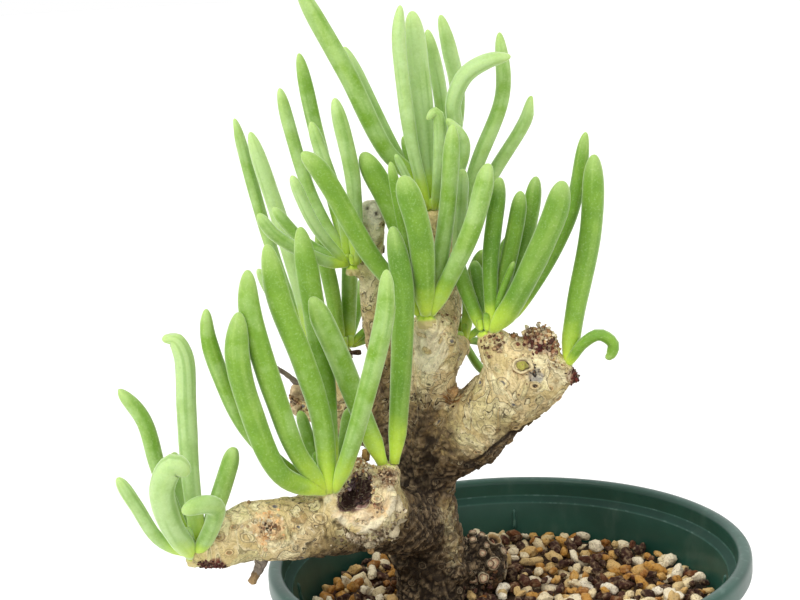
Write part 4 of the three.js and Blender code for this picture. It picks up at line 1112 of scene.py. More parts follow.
def nub(angle):
    """A small moulded rib on the inside of the wall, with a rounded face."""
    height = POT_HEIGHT - NUB_BELOW_RIM
    shares = np.linspace(0, 1, NUB_RINGS)
    ends = (height - NUB_HEIGHT / 2, height + NUB_HEIGHT / 2)
    route = Route([(wall_inside(z), 0, z) for z in ends], 21)
    swell = np.sqrt(np.clip(1 - (2 * shares - 1) ** 6, 0.02, 1))
    angles = angles_round(NUB_SIDES)
    radii = swell[:, None] * np.hypot(np.cos(angles) * NUB_WIDTH / 2, np.sin(angles) * NUB_DEPTH)[None]
    places, faces = tube(route, shares, radii, facing=(0, 1, 0))
    turn = np.array(Matrix.Rotation(angle, 3, "Z"))
    return places @ turn.T, faces


class PotSettings(bpy.types.PropertyGroup):
    colour: colour_setting("Plastic", "Colour of the pot's plastic", (24, 62, 50))
    light_colour: colour_setting("Light plastic", "Colour where the plastic is worn or dusty", (34, 80, 66))


class SUCCULENT_OT_pot(bpy.types.Operator):
    """Make the pot: wall, rolled rim, inner ledge, ribs and drain holes"""

    bl_idname = "succulent.pot"
    bl_label = "Make pot"

    def execute(self, context):
        body = pot_mesh()
        set_places(body, places_of(body) * MM)
        material = pot_finish(context.scene.succulent_pot)
        piece = make_piece("pot_body", body, material, ["pot"])
        piece.data.shade_smooth()
        ribs = Shells("scuff", "grime")
        for index in range(NUB_COUNT):
            ribs.add(*nub(NUB_FIRST + index / NUB_COUNT * 2 * math.pi), scuff=0.4)
        make_piece("pot_ribs", ribs.mesh("pot_ribs"), material)
        return {"FINISHED"}


# Grit

def ico_ball(subdivisions):
    """Points and triangles of a ball of radius 1, made by splitting an icosahedron."""
    golden = (1 + math.sqrt(5)) / 2
    places = [
        (-1, golden, 0), (1, golden, 0), (-1, -golden, 0), (1, -golden, 0), (0, -1, golden), (0, 1, golden),
        (0, -1, -golden), (0, 1, -golden), (golden, 0, -1), (golden, 0, 1), (-golden, 0, -1), (-golden, 0, 1),
    ]
    places = [unit(place) for place in places]
    faces = [
        (0, 11, 5), (0, 5, 1), (0, 1, 7), (0, 7, 10), (0, 10, 11), (1, 5, 9), (5, 11, 4), (11, 10, 2),
        (10, 7, 6), (7, 1, 8), (3, 9, 4), (3, 4, 2), (3, 2, 6), (3, 6, 8), (3, 8, 9), (4, 9, 5), (2, 4, 11),
        (6, 2, 10), (8, 6, 7), (9, 8, 1),
    ]
    for _ in range(subdivisions):
        middles = {}
        split = []

        def middle(a, b):
            key = (min(a, b), max(a, b))
            if key not in middles:
                middles[key] = len(places)
                places.append(unit(places[a] + places[b]))
            return middles[key]

        for a, b, c in faces:
            ab, bc, ca = middle(a, b), middle(b, c), middle(c, a)
            split += [(a, ab, ca), (b, bc, ab), (c, ca, bc), (ab, bc, ca)]
        faces = split
    return np.array(places), faces


def heap_at(x, y):
    """How much higher the grit lies towards the wall."""
    return HEAP_HEIGHT * float(smoothstep(math.hypot(x, y), HEAP_FROM, HEAP_TO))


def settled_stones(settings, draw):
    """Places and radii of stones dropped one by one to the lowest of a few places, until the pot
    is filled to the grit's top."""
    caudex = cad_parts["caudex"]
    wood = BVHTree.FromPolygons(
        [vertex.co / MM for vertex in caudex.data.vertices],
        [tuple(face.vertices) for face in caudex.data.polygons],
    )
    stones = np.zeros((0, 4))
    placed = []
    misses = 0
    reach = wall_inside(GRIT_TOP) - WALL_GAP
    while len(placed) < settings.most_stones:
        radius = settings.smallest + (settings.largest - settings.smallest) * draw.random() ** SMALLNESS
        best = None
        for _ in range(settings.tries):
            angle = draw.random() * 2 * math.pi
            away = (reach - radius) * math.sqrt(draw.random())
            x, y = away * math.cos(angle), away * math.sin(angle)
            floor = GRIT_TOP + heap_at(x, y) - BED_DEPTH
            z = floor
            if len(placed):
                apart = (stones[:, 0] - x) ** 2 + (stones[:, 1] - y) ** 2
                touch = (stones[:, 3] + radius) ** 2 - apart
                over = touch > 0
                if over.any():
                    z = max(z, float((stones[over, 2] + np.sqrt(touch[over])).max()))
            if best is not None and z - floor >= best[0]:
                continue
            near = wood.find_nearest(Vector((x, y, z)))
            inside = (Vector((x, y, z)) - near[0]).dot(near[1]) < 0
            if inside or near[3] < radius * NEARNESS:
                continue
            best = (z - floor, (x, y, z, radius))
        if best is None:
            continue
        if best[0] + radius * NEARNESS > BED_DEPTH + PEAK_HEIGHT:
            misses += 1
            if misses > settings.patience:
                break
            continue
        placed.append(best[1])
        stones = np.array(placed)
    return stones


def seen_from_above(stones):
    """Which stones aren't covered by those over them."""
    seen = np.ones(len(stones), bool)
    for index, (x, y, z, radius) in enumerate(stones):
        above = stones[(stones[:, 2] > z + radius * 0.9)]
        apart = np.hypot(above[:, 0] - x, above[:, 1] - y)
        seen[index] = (apart < above[:, 3] * NEARNESS).sum() < 1
    return seen


class GritSettings(bpy.types.PropertyGroup):
    smallest: number_setting("Smallest stone", "Radius of the smallest stones, in millimetres", 1.15, 0.5)
    largest: number_setting("Largest stone", "Radius of the largest stones, in millimetres", 2.6, 0.6)
    most_stones: number_setting("Most stones", "No more stones than this are dropped", 5200, 1)
    patience: number_setting("Patience", "Stones that may find no room before the pot counts as full", 260, 1)
    fine_stones: number_setting("Fine stones", "Stones at the top that get the finer shape", 560, 1)
    tries: number_setting("Tries", "Places tried for each stone before the lowest is taken", 7, 1)
    dust_colour: colour_setting("Dust", "Colour of the dust on the stones", (206, 178, 136))


class SUCCULENT_OT_grit(bpy.types.Operator):
    """Fill the pot with a bed of grit and thousands of loose stones"""

    bl_idname = "succulent.grit"
    bl_label = "Make grit"

    def execute(self, context):
        settings = context.scene.succulent_grit
        draw = random.Random(GRIT_SEED)
        stones = settled_stones(settings, draw)
        stones = stones[seen_from_above(stones)]
        material = grit_finish(settings)
        lying = np.array([z - heap_at(x, y) for x, y, z, _ in stones])
        stones = stones[np.argsort(lying)]
        upper = min(len(stones), settings.fine_stones)
        groups = (("grit_lower_stones", stones[:-upper], 1), ("grit_upper_stones", stones[-upper:], 2))
        for name, group, splits in groups:
            ball, faces = ico_ball(splits)
            shells = Shells("kind")
            for stone in group:
                places, kind = self.stone(ball, stone, draw)
                shells.add(places, faces, kind=kind)
            mesh = shells.mesh(name)
            kept_in_box(mesh, "grit")
            make_piece(name, mesh, material, ["grit"] if name == "grit_upper_stones" else [])
        self.bed()
        return {"FINISHED"}

    def stone(self, ball, stone, draw):
        """One knobbly stone and the number of its colour."""
        x, y, z, radius = stone
        seed = Vector((draw.uniform(0, 90), draw.uniform(0, 90), draw.uniform(0, 90)))
        lumps = noise_at(ball, 1.1, seed) + 0.5 * noise_at(ball, 2.6, seed)
        axes = np.array([draw.uniform(1.05, 1.8), draw.uniform(0.72, 1.05), draw.uniform(0.6, 0.9)])
        places = ball * (1 + 0.42 * lumps[:, None]) * axes * radius
        tilt = Matrix.Rotation(draw.uniform(0, 2 * math.pi), 3, "Z")
        for axis in "XY":
            tilt = tilt @ Matrix.Rotation(draw.gauss(0, STONE_TILT), 3, axis)
        roll = draw.random()
        kind = next(draw.uniform(low, high) for share, low, high in STONE_KINDS if roll <= share)
        return places @ np.array(tilt).T + np.array([x, y, z]), kind

    def bed(self):
        """The dark filling under the stones."""
        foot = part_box("grit")[0][2] / MM
        top = GRIT_TOP - UNDER_STONES
        rim = top + HEAP_HEIGHT
        outline = [(wall_inside(foot) - BED_GAP, foot), (wall_inside(rim) - BED_GAP, rim)]
        outline += [(away, top + heap_at(away, 0)) for away in BED_RINGS]
        shells = Shells()
        shells.add(*turned(np.array(outline), BED_SIDES))
        make_piece("grit_bed", shells.mesh("grit_bed"), bed_finish())


# Wood

def radius_along(route, points):
    """A function that gives the radius at a share of the route, from the radii at its points."""
    radii = [point[3] for point in points]
    return lambda shares: np.interp(shares, route.point_shares, radii)


def branch_tube(name, points):
    """A lumpy closed tube for a branch."""
    route = Route(points)
    radius_at = radius_along(route, points)
    rings = max(4, math.ceil(route.length / BRANCH_RING))
    shares = np.linspace(0, 1, rings)
    angles = angles_round(BRANCH_SIDES)
    seed = len(name) * 13.7
    lumps = np.array([[
        noise.noise(Vector((math.cos(a) * 1.1 + seed, math.sin(a) * 1.1, share * route.length / 7)))
        for a in angles
    ] for share in shares])
    radii = radius_at(shares)[:, None] * (1 + BRANCH_LUMPS * lumps)
    return tube(route, shares, radii)


def ball_at(middle, radii, subdivisions=2, turn=None):
    """A ball squashed along its axes and then turned."""
    places, faces = ico_ball(subdivisions)
    places = places * np.array(radii)
    if turn is not None:
        places = places @ np.array(turn).T
    return places + np.array(middle, float), faces


def end_dome(points):
    """A low dome over a branch's end."""
    route = Route(points)
    radius = points[-1][3]
    turn = Vector(route.tangents(np.array([1.0]))[0]).to_track_quat("Z", "Y").to_matrix()
    return ball_at(points[-1][:3], (radius * 0.98, radius * 0.98, radius * END_DOME), 3, turn)


def wood_skin(settings):
    """All branches and lumps grown into one skin, before its bark is worked."""
    shells = Shells()
    for name, (_, points) in BRANCHES.items():
        shells.add(*branch_tube(name, points))
        shells.add(*end_dome(points))
    for *middle, radius in LUMPS:
        shells.add(*ball_at(middle, (radius,) * 3))
    lip = Route(CALLUS_LIP)
    shares = np.linspace(0, 1, CALLUS_RINGS)
    swell = CALLUS_RADIUS * (1 + 0.25 * np.sin(shares * 21))
    shells.add(*tube(lip, shares, np.repeat(swell[:, None], CALLUS_SIDES, axis=1)))
    rough = shells.mesh("rough_wood", scale=1.0)
    grown = with_modifiers(
        rough,
        ("REMESH", {"mode": "VOXEL", "voxel_size": settings.first_voxel}),
        ("SMOOTH", {"factor": 0.5, "iterations": settings.blend_steps}),
    )
    hole = Shells()
    for middle, half in [*HOLLOW, DISH]:
        hole.add(*ball_at(middle, half, 3))
    return carved(
        grown, hole,
        ("REMESH", {"mode": "VOXEL", "voxel_size": settings.voxel}),
        ("SMOOTH", {"factor": 0.4, "iterations": 2}),
        crossing=True,
    )


def bark_ages(places):
    """The age of the bark at each place, from the nearest branch."""
    middles, radii, ages = [], [], []
    for (start, end), points in BRANCHES.values():
        route = Route(points)
        shares = np.linspace(0, 1, max(6, math.ceil(route.length / 1.5)))
        middles.append(route.at(shares))
        radii.append(radius_along(route, points)(shares))
        ages.append(start + (end - start) * shares)
    middles, radii, ages = np.concatenate(middles), np.concatenate(radii), np.concatenate(ages)
    nearest = np.zeros(len(places), int)
    for start in range(0, len(places), BLOCK):
        block = places[start:start + BLOCK]
        gaps = np.linalg.norm(block[:, None] - middles[None], axis=2) - radii[None]
        nearest[start:start + BLOCK] = gaps.argmin(axis=1)
    return ages[nearest]


def averaged(values, edges, steps):
    """The values after each point takes on some of its neighbours' mean, a number of times."""
    count = np.maximum(np.bincount(edges.ravel(), minlength=len(values)), 1)
    columns = values.reshape(len(values), -1).copy()
    for _ in range(steps):
        for axis in range(columns.shape[1]):
            column = columns[:, axis]
            total = np.bincount(edges[:, 0], column[edges[:, 1]], len(column))
            total += np.bincount(edges[:, 1], column[edges[:, 0]], len(column))
            columns[:, axis] = 0.5 * column + 0.5 * total / count
    return columns.reshape(values.shape)


def scales_at(places, scale, seed):
    """For each place: the distances to the nearest two scale middles, and how far it lies above the
    nearest."""
    found = []
    for place in places:
        spot = Vector(place) * scale + seed
        distances, middles = noise.voronoi(spot)
        found.append((distances[0], distances[1], spot.z - middles[0].z))
    return np.array(found)


class Bark:
    """The wood's skin while it is worked: places, outward directions and painted values."""

    def __init__(self, mesh):
        self.mesh = mesh
        self.places = places_of(mesh)
        self.outward = normals_of(mesh)
        self.edges = read(mesh.edges, "vertices", 2, np.int32)
        self.age = averaged(bark_ages(self.places), self.edges, AGE_BLEND)
        # Painted shade: bark that faces down is painted older and darker.
        self.age += UNDERSIDE_SHADE * np.clip(-self.outward[:, 2], 0, 1)
        self.rough = self.oldness()
        for middle, radius, amount in YOUNGER:
            away = np.linalg.norm(self.places - np.array(middle, float), axis=1)
            close = np.flatnonzero(away < radius * 1.5)
            ragged = away[close] + 0.3 * radius * noise_at(self.places[close], 0.45, Vector(middle))
            self.age[close] -= amount * smoothstep(ragged, radius * 1.15, 0)
        self.age = np.clip(self.age, 0, 1)
        count = len(self.places)
        self.stain = np.zeros(count)
        self.wear_and_highlight = np.zeros(count)
        self.tint = np.zeros((count, 3))
        self.tinted = np.zeros(count)
        self.start = self.places.copy()

    def oldness(self):
        """How scaly the bark is at its present age, from 0 to 1."""
        return smoothstep(self.age, 0.3, 0.85)

    def lift(self, amount):
        self.places += self.outward * np.asarray(amount)[:, None]

    def darken(self, amount):
        self.stain = np.maximum(self.stain, amount)

    def lay_plates(self):
        """Low lumps everywhere, and scales that stand up where the bark is old, each with painted shade on
        its lower part and a painted highlight on its upper part.
        """
        lumps = noise_at(self.start, 0.16, Vector((3, 7, 1)))
        warp = np.stack([noise_at(self.start, 0.35, Vector((k * 9, 2, 5))) for k in (1, 2, 3)], axis=1)
        scales = scales_at((self.start + warp * 2.2) * (1, 1, 0.7), 0.29, Vector((0, 0, 0)))
        edge = smoothstep(scales[:, 1] - scales[:, 0], 0.0, 0.25)
        fine = noise_at(self.start, 0.9, Vector((8, 1, 4)))
        small = noise_at(self.start, 0.45, Vector((2, 8, 6)))
        old = self.rough
        self.lift(0.45 * lumps + (0.1 + 0.3 * old) * (edge - 0.75) + (0.12 + 0.75 * old) * scales[:, 2])
        self.lift((0.1 + 0.12 * old) * fine + 0.26 * small * (0.4 + old))
        self.darken((1 - edge) * (0.05 + 0.7 * old))
        # Painted shade on the lower part of each old scale.
        self.darken(smoothstep(scales[:, 2], -0.1, -0.5) * 0.5 * old)
        # A painted highlight on the upper part of each old scale.
        self.wear_and_highlight = smoothstep(scales[:, 2], 0.0, 0.4) * old

    def paint_shade_and_highlights(self):
        """Painted shade in the dips and the crevices between branches, and painted highlights on old bark's
        raised tops.
        """
        old = self.oldness()
        dip = ((averaged(self.places, self.edges, 5) - self.places) * self.outward).sum(axis=1)
        crevice = ((averaged(self.start, self.edges, 60) - self.start) * self.outward).sum(axis=1)
        # Painted shade: darker in small dips, and darker still in the wide crevices where branches meet.
        self.darken(smoothstep(dip, 0.03, 0.22) * (0.3 + 0.5 * old))
        self.darken(smoothstep(crevice, 0.35, 1.5) * 0.85)
        self.wear_and_highlight = np.maximum(self.wear_and_highlight, smoothstep(-dip, 0.02, 0.14) * old)

    def patch(self, middle, radius, ragged, grain):
        """The points round a place, and how far from it each lies, with a ragged edge."""
        away = np.linalg.norm(self.start - np.array(middle, float), axis=1)
        close = np.flatnonzero(away < radius * 1.6)
        return close, away[close] + noise_at(self.start[close], grain, Vector(middle)) * ragged * radius

    def paint(self, middle, radius, colour, weight, ragged=0.4):
        """Tints the bark round a place."""
        close, away = self.patch(middle, radius, ragged, 0.8)
        share = weight * smoothstep(away, radius * 1.05, radius * 0.75)
        blend = np.where(self.tinted[close] > 0.01, share, 1)[:, None]
        self.tint[close] += (np.array(colour) - self.tint[close]) * blend
        self.tinted[close] = np.maximum(self.tinted[close], share)

    def blacken(self, middle, radius, amount, sink):
        """Darkens the bark round a place and sinks it."""
        close, away = self.patch(middle, radius, 0.4, 0.7)
        share = smoothstep(away, radius * 1.1, radius * 0.5)
        self.stain[close] = np.maximum(self.stain[close], share * amount)
        self.places[close] -= self.outward[close] * (share * sink)[:, None]

    def finish(self):
        set_places(self.mesh, self.places * MM)
        for name in BARK_VALUES:
            set_value(self.mesh, name, np.clip(getattr(self, name), 0, 1))
        self.mesh.shade_smooth()
        return self.mesh


def within(places, ball):
    """How far from a ball's middle places lie: 1 is on its surface."""
    middle, half = ball
    return np.linalg.norm((places - np.array(middle)) / half, axis=1)


def heal_lip(bark):
    """The callus: a pale crest, and painted shade in a sunk groove along its outer side."""
    for place in Route(CALLUS_LIP).at(np.linspace(0, 1, 26)):
        away = unit(place - np.array(FACE_MIDDLE))
        bark.paint(place, 1.5, CALLUS_COLOUR, 0.9, 0.2)
        # Painted shade in the groove below the crest.
        bark.blacken(place + away * 2.4, 1.0, 0.8, 0.3)


def work_bark(bark):
    """Lays the plates, then the painted and dark places, the callus, the strips and the hollow's rot, and
    last the painted shade and highlights.
    """
    bark.lay_plates()
    for middle, radius, colour, weight in PAINTED:
        bark.paint(middle, radius, colour, weight)
    heal_lip(bark)
    for middle, radius, amount, sink in DARK:
        bark.blacken(middle, radius, amount, sink)
    for line, radius, amount, sink in STRIPS:
        route = Route(line)
        for place in route.at(np.linspace(0, 1, math.ceil(route.length / radius) + 1)):
            bark.blacken(place, radius, amount, sink / 2)
    inside = np.minimum(*(within(bark.start, ball) for ball in HOLLOW))
    ragged = inside + 0.3 * noise_at(bark.start, 0.55, Vector((6, 1, 9)))
    hollow = smoothstep(ragged, 1.3, 1.08)
    patches = smoothstep(noise_at(bark.start, 0.5, Vector((4, 4, 4))), -0.1, 0.35)[:, None]
    rot = patches * np.array(paint(150, 118, 108)) + (1 - patches) * np.array(paint(80, 52, 44))
    bark.tint = np.where(hollow[:, None] > 0.02, rot, bark.tint)
    bark.tinted = np.maximum(bark.tinted * (hollow < 0.02), hollow)
    bark.paint_shade_and_highlights()


class Skin:
    """Finds places on the finished wood, in millimetres."""

    def __init__(self, mesh):
        places = places_of(mesh) / MM
        self.tree = BVHTree.FromPolygons(places.tolist(), [tuple(face.vertices) for face in mesh.polygons])
        self.normals = normals_of(mesh)
        self.places = places
        self.ages = np.zeros(len(places), np.float32)
        mesh.attributes["age"].data.foreach_get("value", self.ages)
        self.points = kdtree.KDTree(len(places))
        for index, place in enumerate(places):
            self.points.insert(place, index)
        self.points.balance()

    def meet(self, place):
        """The nearest place on the skin, the smoothed outward direction there, and the bark's age."""
        place = Vector(place)
        near = [entry[1] for entry in self.points.find_n(place, 14)]
        outward = unit(self.normals[near].mean(axis=0))
        return np.array(self.tree.find_nearest(place)[0]), outward, float(self.ages[near].mean())

    def laid_on(self, places, heights):
        """The places moved onto the skin and lifted by heights along its outward direction."""
        laid = []
        for place, height in zip(places, heights):
            point, normal, _, _ = self.tree.find_nearest(Vector(place))
            laid.append(point + normal * height)
        return np.array(laid)


def axes_across(outward, turn):
    """Two directions across an outward one, turned about it."""
    first = unit(np.cross(outward, (0.2, 0.3, 1.0)))
    second = np.cross(outward, first)
    return first * math.cos(turn) + second * math.sin(turn), second * math.cos(turn) - first * math.sin(turn)


# Each kind of leaf scar in rings, from the innermost outwards: share of its radius, height in
# millimetres, colour and how much of the colour covers the bark. Its middle is like the first ring.
PALE, TAN, RUST = paint(238, 220, 172), paint(206, 170, 112), paint(178, 112, 52)
UMBER, SLATE, GREEN = paint(62, 40, 26), paint(112, 112, 120), paint(166, 162, 62)
ASH, PALE_ASH = paint(140, 122, 96), paint(184, 164, 130)
SCAR_KINDS = {
    "ring": [
        (0.3, -0.05, TAN, 0.3), (0.52, -0.08, UMBER, 0.35), (0.66, 0.16, PALE, 0.5),
        (0.8, 0.2, PALE, 0.5), (0.9, -0.05, UMBER, 0.75), (1, 0.03, PALE, 0.3), (1.15, -0.2, TAN, 0),
    ],
    "rust": [
        (0.28, 0, UMBER, 0.6), (0.5, 0.1, RUST, 0.7), (0.7, 0.26, PALE, 0.6),
        (0.83, 0.22, TAN, 0.6), (0.92, -0.04, UMBER, 0.7), (1, 0.02, TAN, 0.2), (1.15, -0.2, TAN, 0),
    ],
    "eye": [
        (0.2, -0.06, SLATE, 0.95), (0.36, 0, SLATE, 0.7), (0.5, 0.1, PALE, 0.25),
        (0.75, 0.14, TAN, 0.25), (0.86, -0.04, UMBER, 0.75), (1, 0.06, PALE, 0.45), (1.15, -0.2, TAN, 0),
    ],
    "hole": [
        (0.32, -0.08, UMBER, 1), (0.45, 0.05, TAN, 0.7), (0.6, 0.2, PALE, 0.6),
        (0.75, 0.2, TAN, 0.4), (0.87, -0.04, UMBER, 0.6), (1, 0.03, TAN, 0.2), (1.15, -0.2, TAN, 0),
    ],
    "old": [
        (0.3, 0.05, ASH, 0.6), (0.55, 0, UMBER, 0.7), (0.72, 0.3, PALE_ASH, 0.75),
        (0.86, 0.3, ASH, 0.6), (0.95, -0.04, UMBER, 0.8), (1, 0.03, ASH, 0.2), (1.15, -0.2, ASH, 0),
    ],
    "bud": [
        (0.3, 0.46, GREEN, 0.9), (0.5, 0.2, GREEN, 0.8), (0.6, -0.2, UMBER, 0.85),
        (0.7, 0.45, PALE, 0.9), (0.86, 0.5, PALE, 0.9), (1, 0.1, RUST, 0.6), (1.15, -0.2, TAN, 0),
    ],
}
SCAR_SIDES = 22

# Scars stand this far off the skin, and on bark older than this the rule makes them old ones.
SCAR_LIFT = 0.16
OLD_AGE = 0.6
SCAR_GAP = 2.1


def scar_shell(shells, skin, place, radius, kind, draw):
    """A leaf scar: rings of low relief laid on the skin, a little wider across than along."""
    middle, outward, age = skin.meet(place)
    first, second = axes_across(outward, draw.uniform(-0.3, 0.3))
    angles = angles_round(SCAR_SIDES)
    seed = draw.uniform(0, 50)
    flat = draw.uniform(0.7, 0.9)
    wobble = np.array([1 + 0.3 * noise.noise(Vector((math.cos(a), math.sin(a), seed)) * 1.5) for a in angles])
    rings = SCAR_KINDS[kind]
    _, height, colour, cover = rings[0]
    places, heights, tints, shown = [middle], [height + SCAR_LIFT], [colour], [cover]
    for share, height, colour, cover in rings:
        for angle, wide in zip(angles, wobble):
            across = first * math.cos(angle) * 1.12 + second * math.sin(angle) * flat
            places.append(middle + across * radius * share * wide)
            grit = draw.uniform(-0.04, 0.04) + SCAR_LIFT if share < 1.1 else 0
            heights.append(height * radius / 1.7 + grit)
            tints.append(colour)
            shown.append(cover)
    faces = fan(0, 1, SCAR_SIDES)
    for ring in range(len(rings) - 1):
        low = 1 + ring * SCAR_SIDES
        faces += skirt(low, low + SCAR_SIDES, SCAR_SIDES)
    laid = skin.laid_on(places, heights)
    shells.add(laid, faces, age=age, tint=np.array(tints), tinted=np.array(shown))


def flake_shell(shells, skin, place, radius, lift, draw, tint=None):
    """A thin scale of bark with a ragged outline. It hugs the skin at one side and lifts at the other."""
    middle, outward, age = skin.meet(place)
    turn = draw.uniform(0, 2 * math.pi)
    first, second = axes_across(outward, turn)
    sides = FLAKE_SIDES
    angles = angles_round(sides)
    reach = np.array([draw.uniform(0.7, 1.2) for _ in range(sides)])
    thick = draw.uniform(0.14, 0.26)
    top, heights = [middle], [0.3 * lift + thick]
    for share in (0.55, 1.0):
        for angle, out in zip(angles, reach):
            across = first * math.cos(angle) * 0.62 + second * math.sin(angle)
            top.append(middle + across * radius * share * out)
            rise = (0.5 + 0.5 * math.cos(angle)) ** 1.5 * share
            heights.append(thick * (1.0 if share < 1 else 0.7) + lift * rise + draw.uniform(-0.04, 0.04))
    count = len(top)
    upper = skin.laid_on(top, heights)
    lower = skin.laid_on(top, np.array(heights) - thick * 1.3)
    pairs = zip(fan(0, 1, sides), skirt(1, 1 + sides, sides))
    above = [face for pair in pairs for face in pair]
    below = [tuple(corner + count for corner in reversed(face)) for face in above]
    faces = above + below + skirt(1 + sides, count + 1 + sides, sides)
    # Painted shade: darker at the flake's outer edge and all over its underside.
    rim = np.concatenate([np.zeros(1 + sides), np.full(sides, 0.35), np.full(count, 0.7)])
    own = draw.uniform(-0.12, 0.12)
    shells.add(
        np.concatenate([upper, lower]), faces, age=np.clip(age + own, 0, 1), stain=rim,
        tint=tint or PALE, tinted=0.75 if tint else draw.choice((0.0, 0.2, 0.45)) * max(0.0, 1 - 1.5 * age),
    )


def crumb_shell(shells, middle, size, colour, draw):
    """An angular crumb of dry bark."""
    places, faces = ico_ball(0)
    stretch = np.array([draw.uniform(0.5, 1.3) for _ in range(3)])
    places = places * np.array([[draw.uniform(0.65, 1.2)] for _ in places]) * stretch * size
    turn = Matrix.Rotation(draw.uniform(0, 6.3), 3, "X") @ Matrix.Rotation(draw.uniform(0, 6.3), 3, "Z")
    shade = draw.uniform(0.55, 1.25)
    tint = np.minimum(np.array(colour) * shade, 1)
    shells.add(places @ np.array(turn).T + middle, faces, age=0.4, tint=tint, tinted=1.0)


PEG_FACE, PEG_MIDDLE, PEG_DARK = paint(244, 224, 184), paint(232, 190, 154), paint(84, 58, 40)

# A stub's end: its rings as shares of the radius, and how far each kind's rings stand out or sink.
END_RINGS = (0.86, 0.6, 0.3)
END_DEPTHS = {"ring": (0.05, -0.12, -0.05), "cup": (-0.2, -1.4, -1.8), "dome": (0.2, 0.45, 0.55)}


def stub_shell(shells, points, draw, tint, kind="ring"):
    """An old leaf base or a dry twig: a rough stem with a scarred end."""
    route = Route(points)
    radius_at = radius_along(route, points)
    rings = max(8, math.ceil(route.length / 0.7))
    shares = np.linspace(0, 1, rings)
    sides = STUB_SIDES
    ribs = 1 + 0.05 * np.sin(shares * route.length * 2.4 + draw.uniform(0, 6))
    rough = np.array([[draw.uniform(0.92, 1.08) for _ in range(sides)] for _ in shares])
    seed = draw.uniform(0, 50)
    outline = np.array([
        1 + 0.3 * noise.noise(Vector((math.cos(a), math.sin(a), seed))) for a in angles_round(sides)
    ])
    radii = radius_at(shares)[:, None] * ribs[:, None] * rough * outline[None]
    places, faces = tube(route, shares, radii)
    depths = END_DEPTHS[kind]
    tangent = route.tangents(np.array([1.0]))[0]
    middle = route.at(np.array([1.0]))[0]
    last = (rings - 1) * sides
    rim = places[last:last + sides] - middle
    faces = faces[:last] + [face for face in faces[last:] if rings * sides in face]
    places = list(places[:-1])
    for share, depth in zip(END_RINGS, depths):
        low = len(places)
        places += [middle + arm * share + tangent * (depth + draw.uniform(-0.06, 0.06)) for arm in rim]
        faces += band(last, low, sides)
        last = low
    faces += fan(len(places), last, sides)
    places.append(middle + tangent * depths[-1])
    body = rings * sides + 1
    run = np.concatenate([np.repeat(shares, sides), [0.0]])
    tints = np.repeat([tint], len(places), axis=0)
    end_tints = {
        "ring": (PEG_DARK, PEG_MIDDLE, PEG_FACE), "cup": (TAN, UMBER, UMBER), "dome": (tint, tint, tint),
    }[kind]
    if kind != "dome":
        tints[body - 1 - sides:body - 1] = PEG_FACE
    for ring, colour in enumerate(end_tints):
        tints[body + ring * sides:body + (ring + 1) * sides] = colour
    tints[-1] = end_tints[-1]
    shown = np.concatenate([0.5 + 0.3 * run, np.full(len(places) - body, 0.95)])
    shells.add(places, faces, age=0.9, tint=tints, tinted=shown, stain=0.0)


def scar_places(draw):
    """Where the scars of each run lie, and their radii."""
    for name, start, end, count, turn, radius in SCAR_RUNS:
        points = BRANCHES[name][1]
        route = Route(points)
        shares = np.linspace(start, end, count)
        across, other = route.frames(shares, (0, -1, 0))
        middles, radii = route.at(shares), radius_along(route, points)(shares)
        for index in range(count):
            angle = turn + index * GOLDEN_ANGLE
            outward = across[index] * math.cos(angle) + other[index] * math.sin(angle)
            yield middles[index] + outward * radii[index], radius * draw.uniform(0.7, 1.2)


def clear_of(place, others, gap):
    return all(np.linalg.norm(np.subtract(place, other)) > gap for other in others)


def scar_shells(skin, draw):
    """The scars seen in the photo, and others by rule where there are none."""
    shells = Shells(*BARK_VALUES)
    taken = [scar[:3] for scar in SCARS]
    for x, y, z, radius, kind in SCARS:
        scar_shell(shells, skin, (x, y, z), radius, kind, draw)
    for place, radius in scar_places(draw):
        snapped, _, age = skin.meet(place)
        if clear_of(snapped, taken, radius * SCAR_GAP) and clear_of(snapped, [FACE_MIDDLE], SCARS_OFF_FACE):
            taken.append(snapped)
            kind = "old" if age > OLD_AGE else draw.choice(("ring", "rust", "eye", "eye", "hole"))
            scar_shell(shells, skin, place, radius, kind, draw)
    return shells


def flake_shells(skin, count, draw):
    """Peeling scales all over, fewer on the youngest bark, and large ones that the photo shows."""
    shells = Shells(*BARK_VALUES)
    for x, y, z, radius, lift, colour in FLAKES:
        flake_shell(shells, skin, (x, y, z), radius, lift, draw, colour)
    made = 0
    while made < count:
        index = draw.randrange(len(skin.places))
        age, place = skin.ages[index], skin.places[index]
        kept = 0.25 + 0.75 * float(smoothstep(age, 0.05, 0.35))
        if place[2] < GRIT_TOP + 1 or draw.random() > kept:
            continue
        if not clear_of(place, [FACE_MIDDLE], FLAKES_OFF_FACE):
            continue
        made += 1
        radius = draw.uniform(*FLAKE_RADII) * (0.75 + 0.35 * float(age))
        flake_shell(shells, skin, place, radius, draw.uniform(*FLAKE_LIFTS), draw)
    return shells


def crumb_shells(skin, draw):
    """Crumbs heaped on the skin round each of their places."""
    shells = Shells(*BARK_VALUES)
    for middle, reach, count, size, colours, heap in CRUMBS:
        for _ in range(count):
            offset = np.array([draw.gauss(0, reach * 0.5) for _ in range(3)])
            point, outward, _ = skin.meet(np.array(middle) + offset)
            closeness = max(0.0, 1 - np.linalg.norm(offset) / (reach * 1.2))
            height = draw.uniform(-0.2, heap * closeness)
            own_size = size * draw.uniform(0.4, 1.2)
            crumb_shell(shells, point + outward * height, own_size, draw.choice(colours), draw)
    return shells


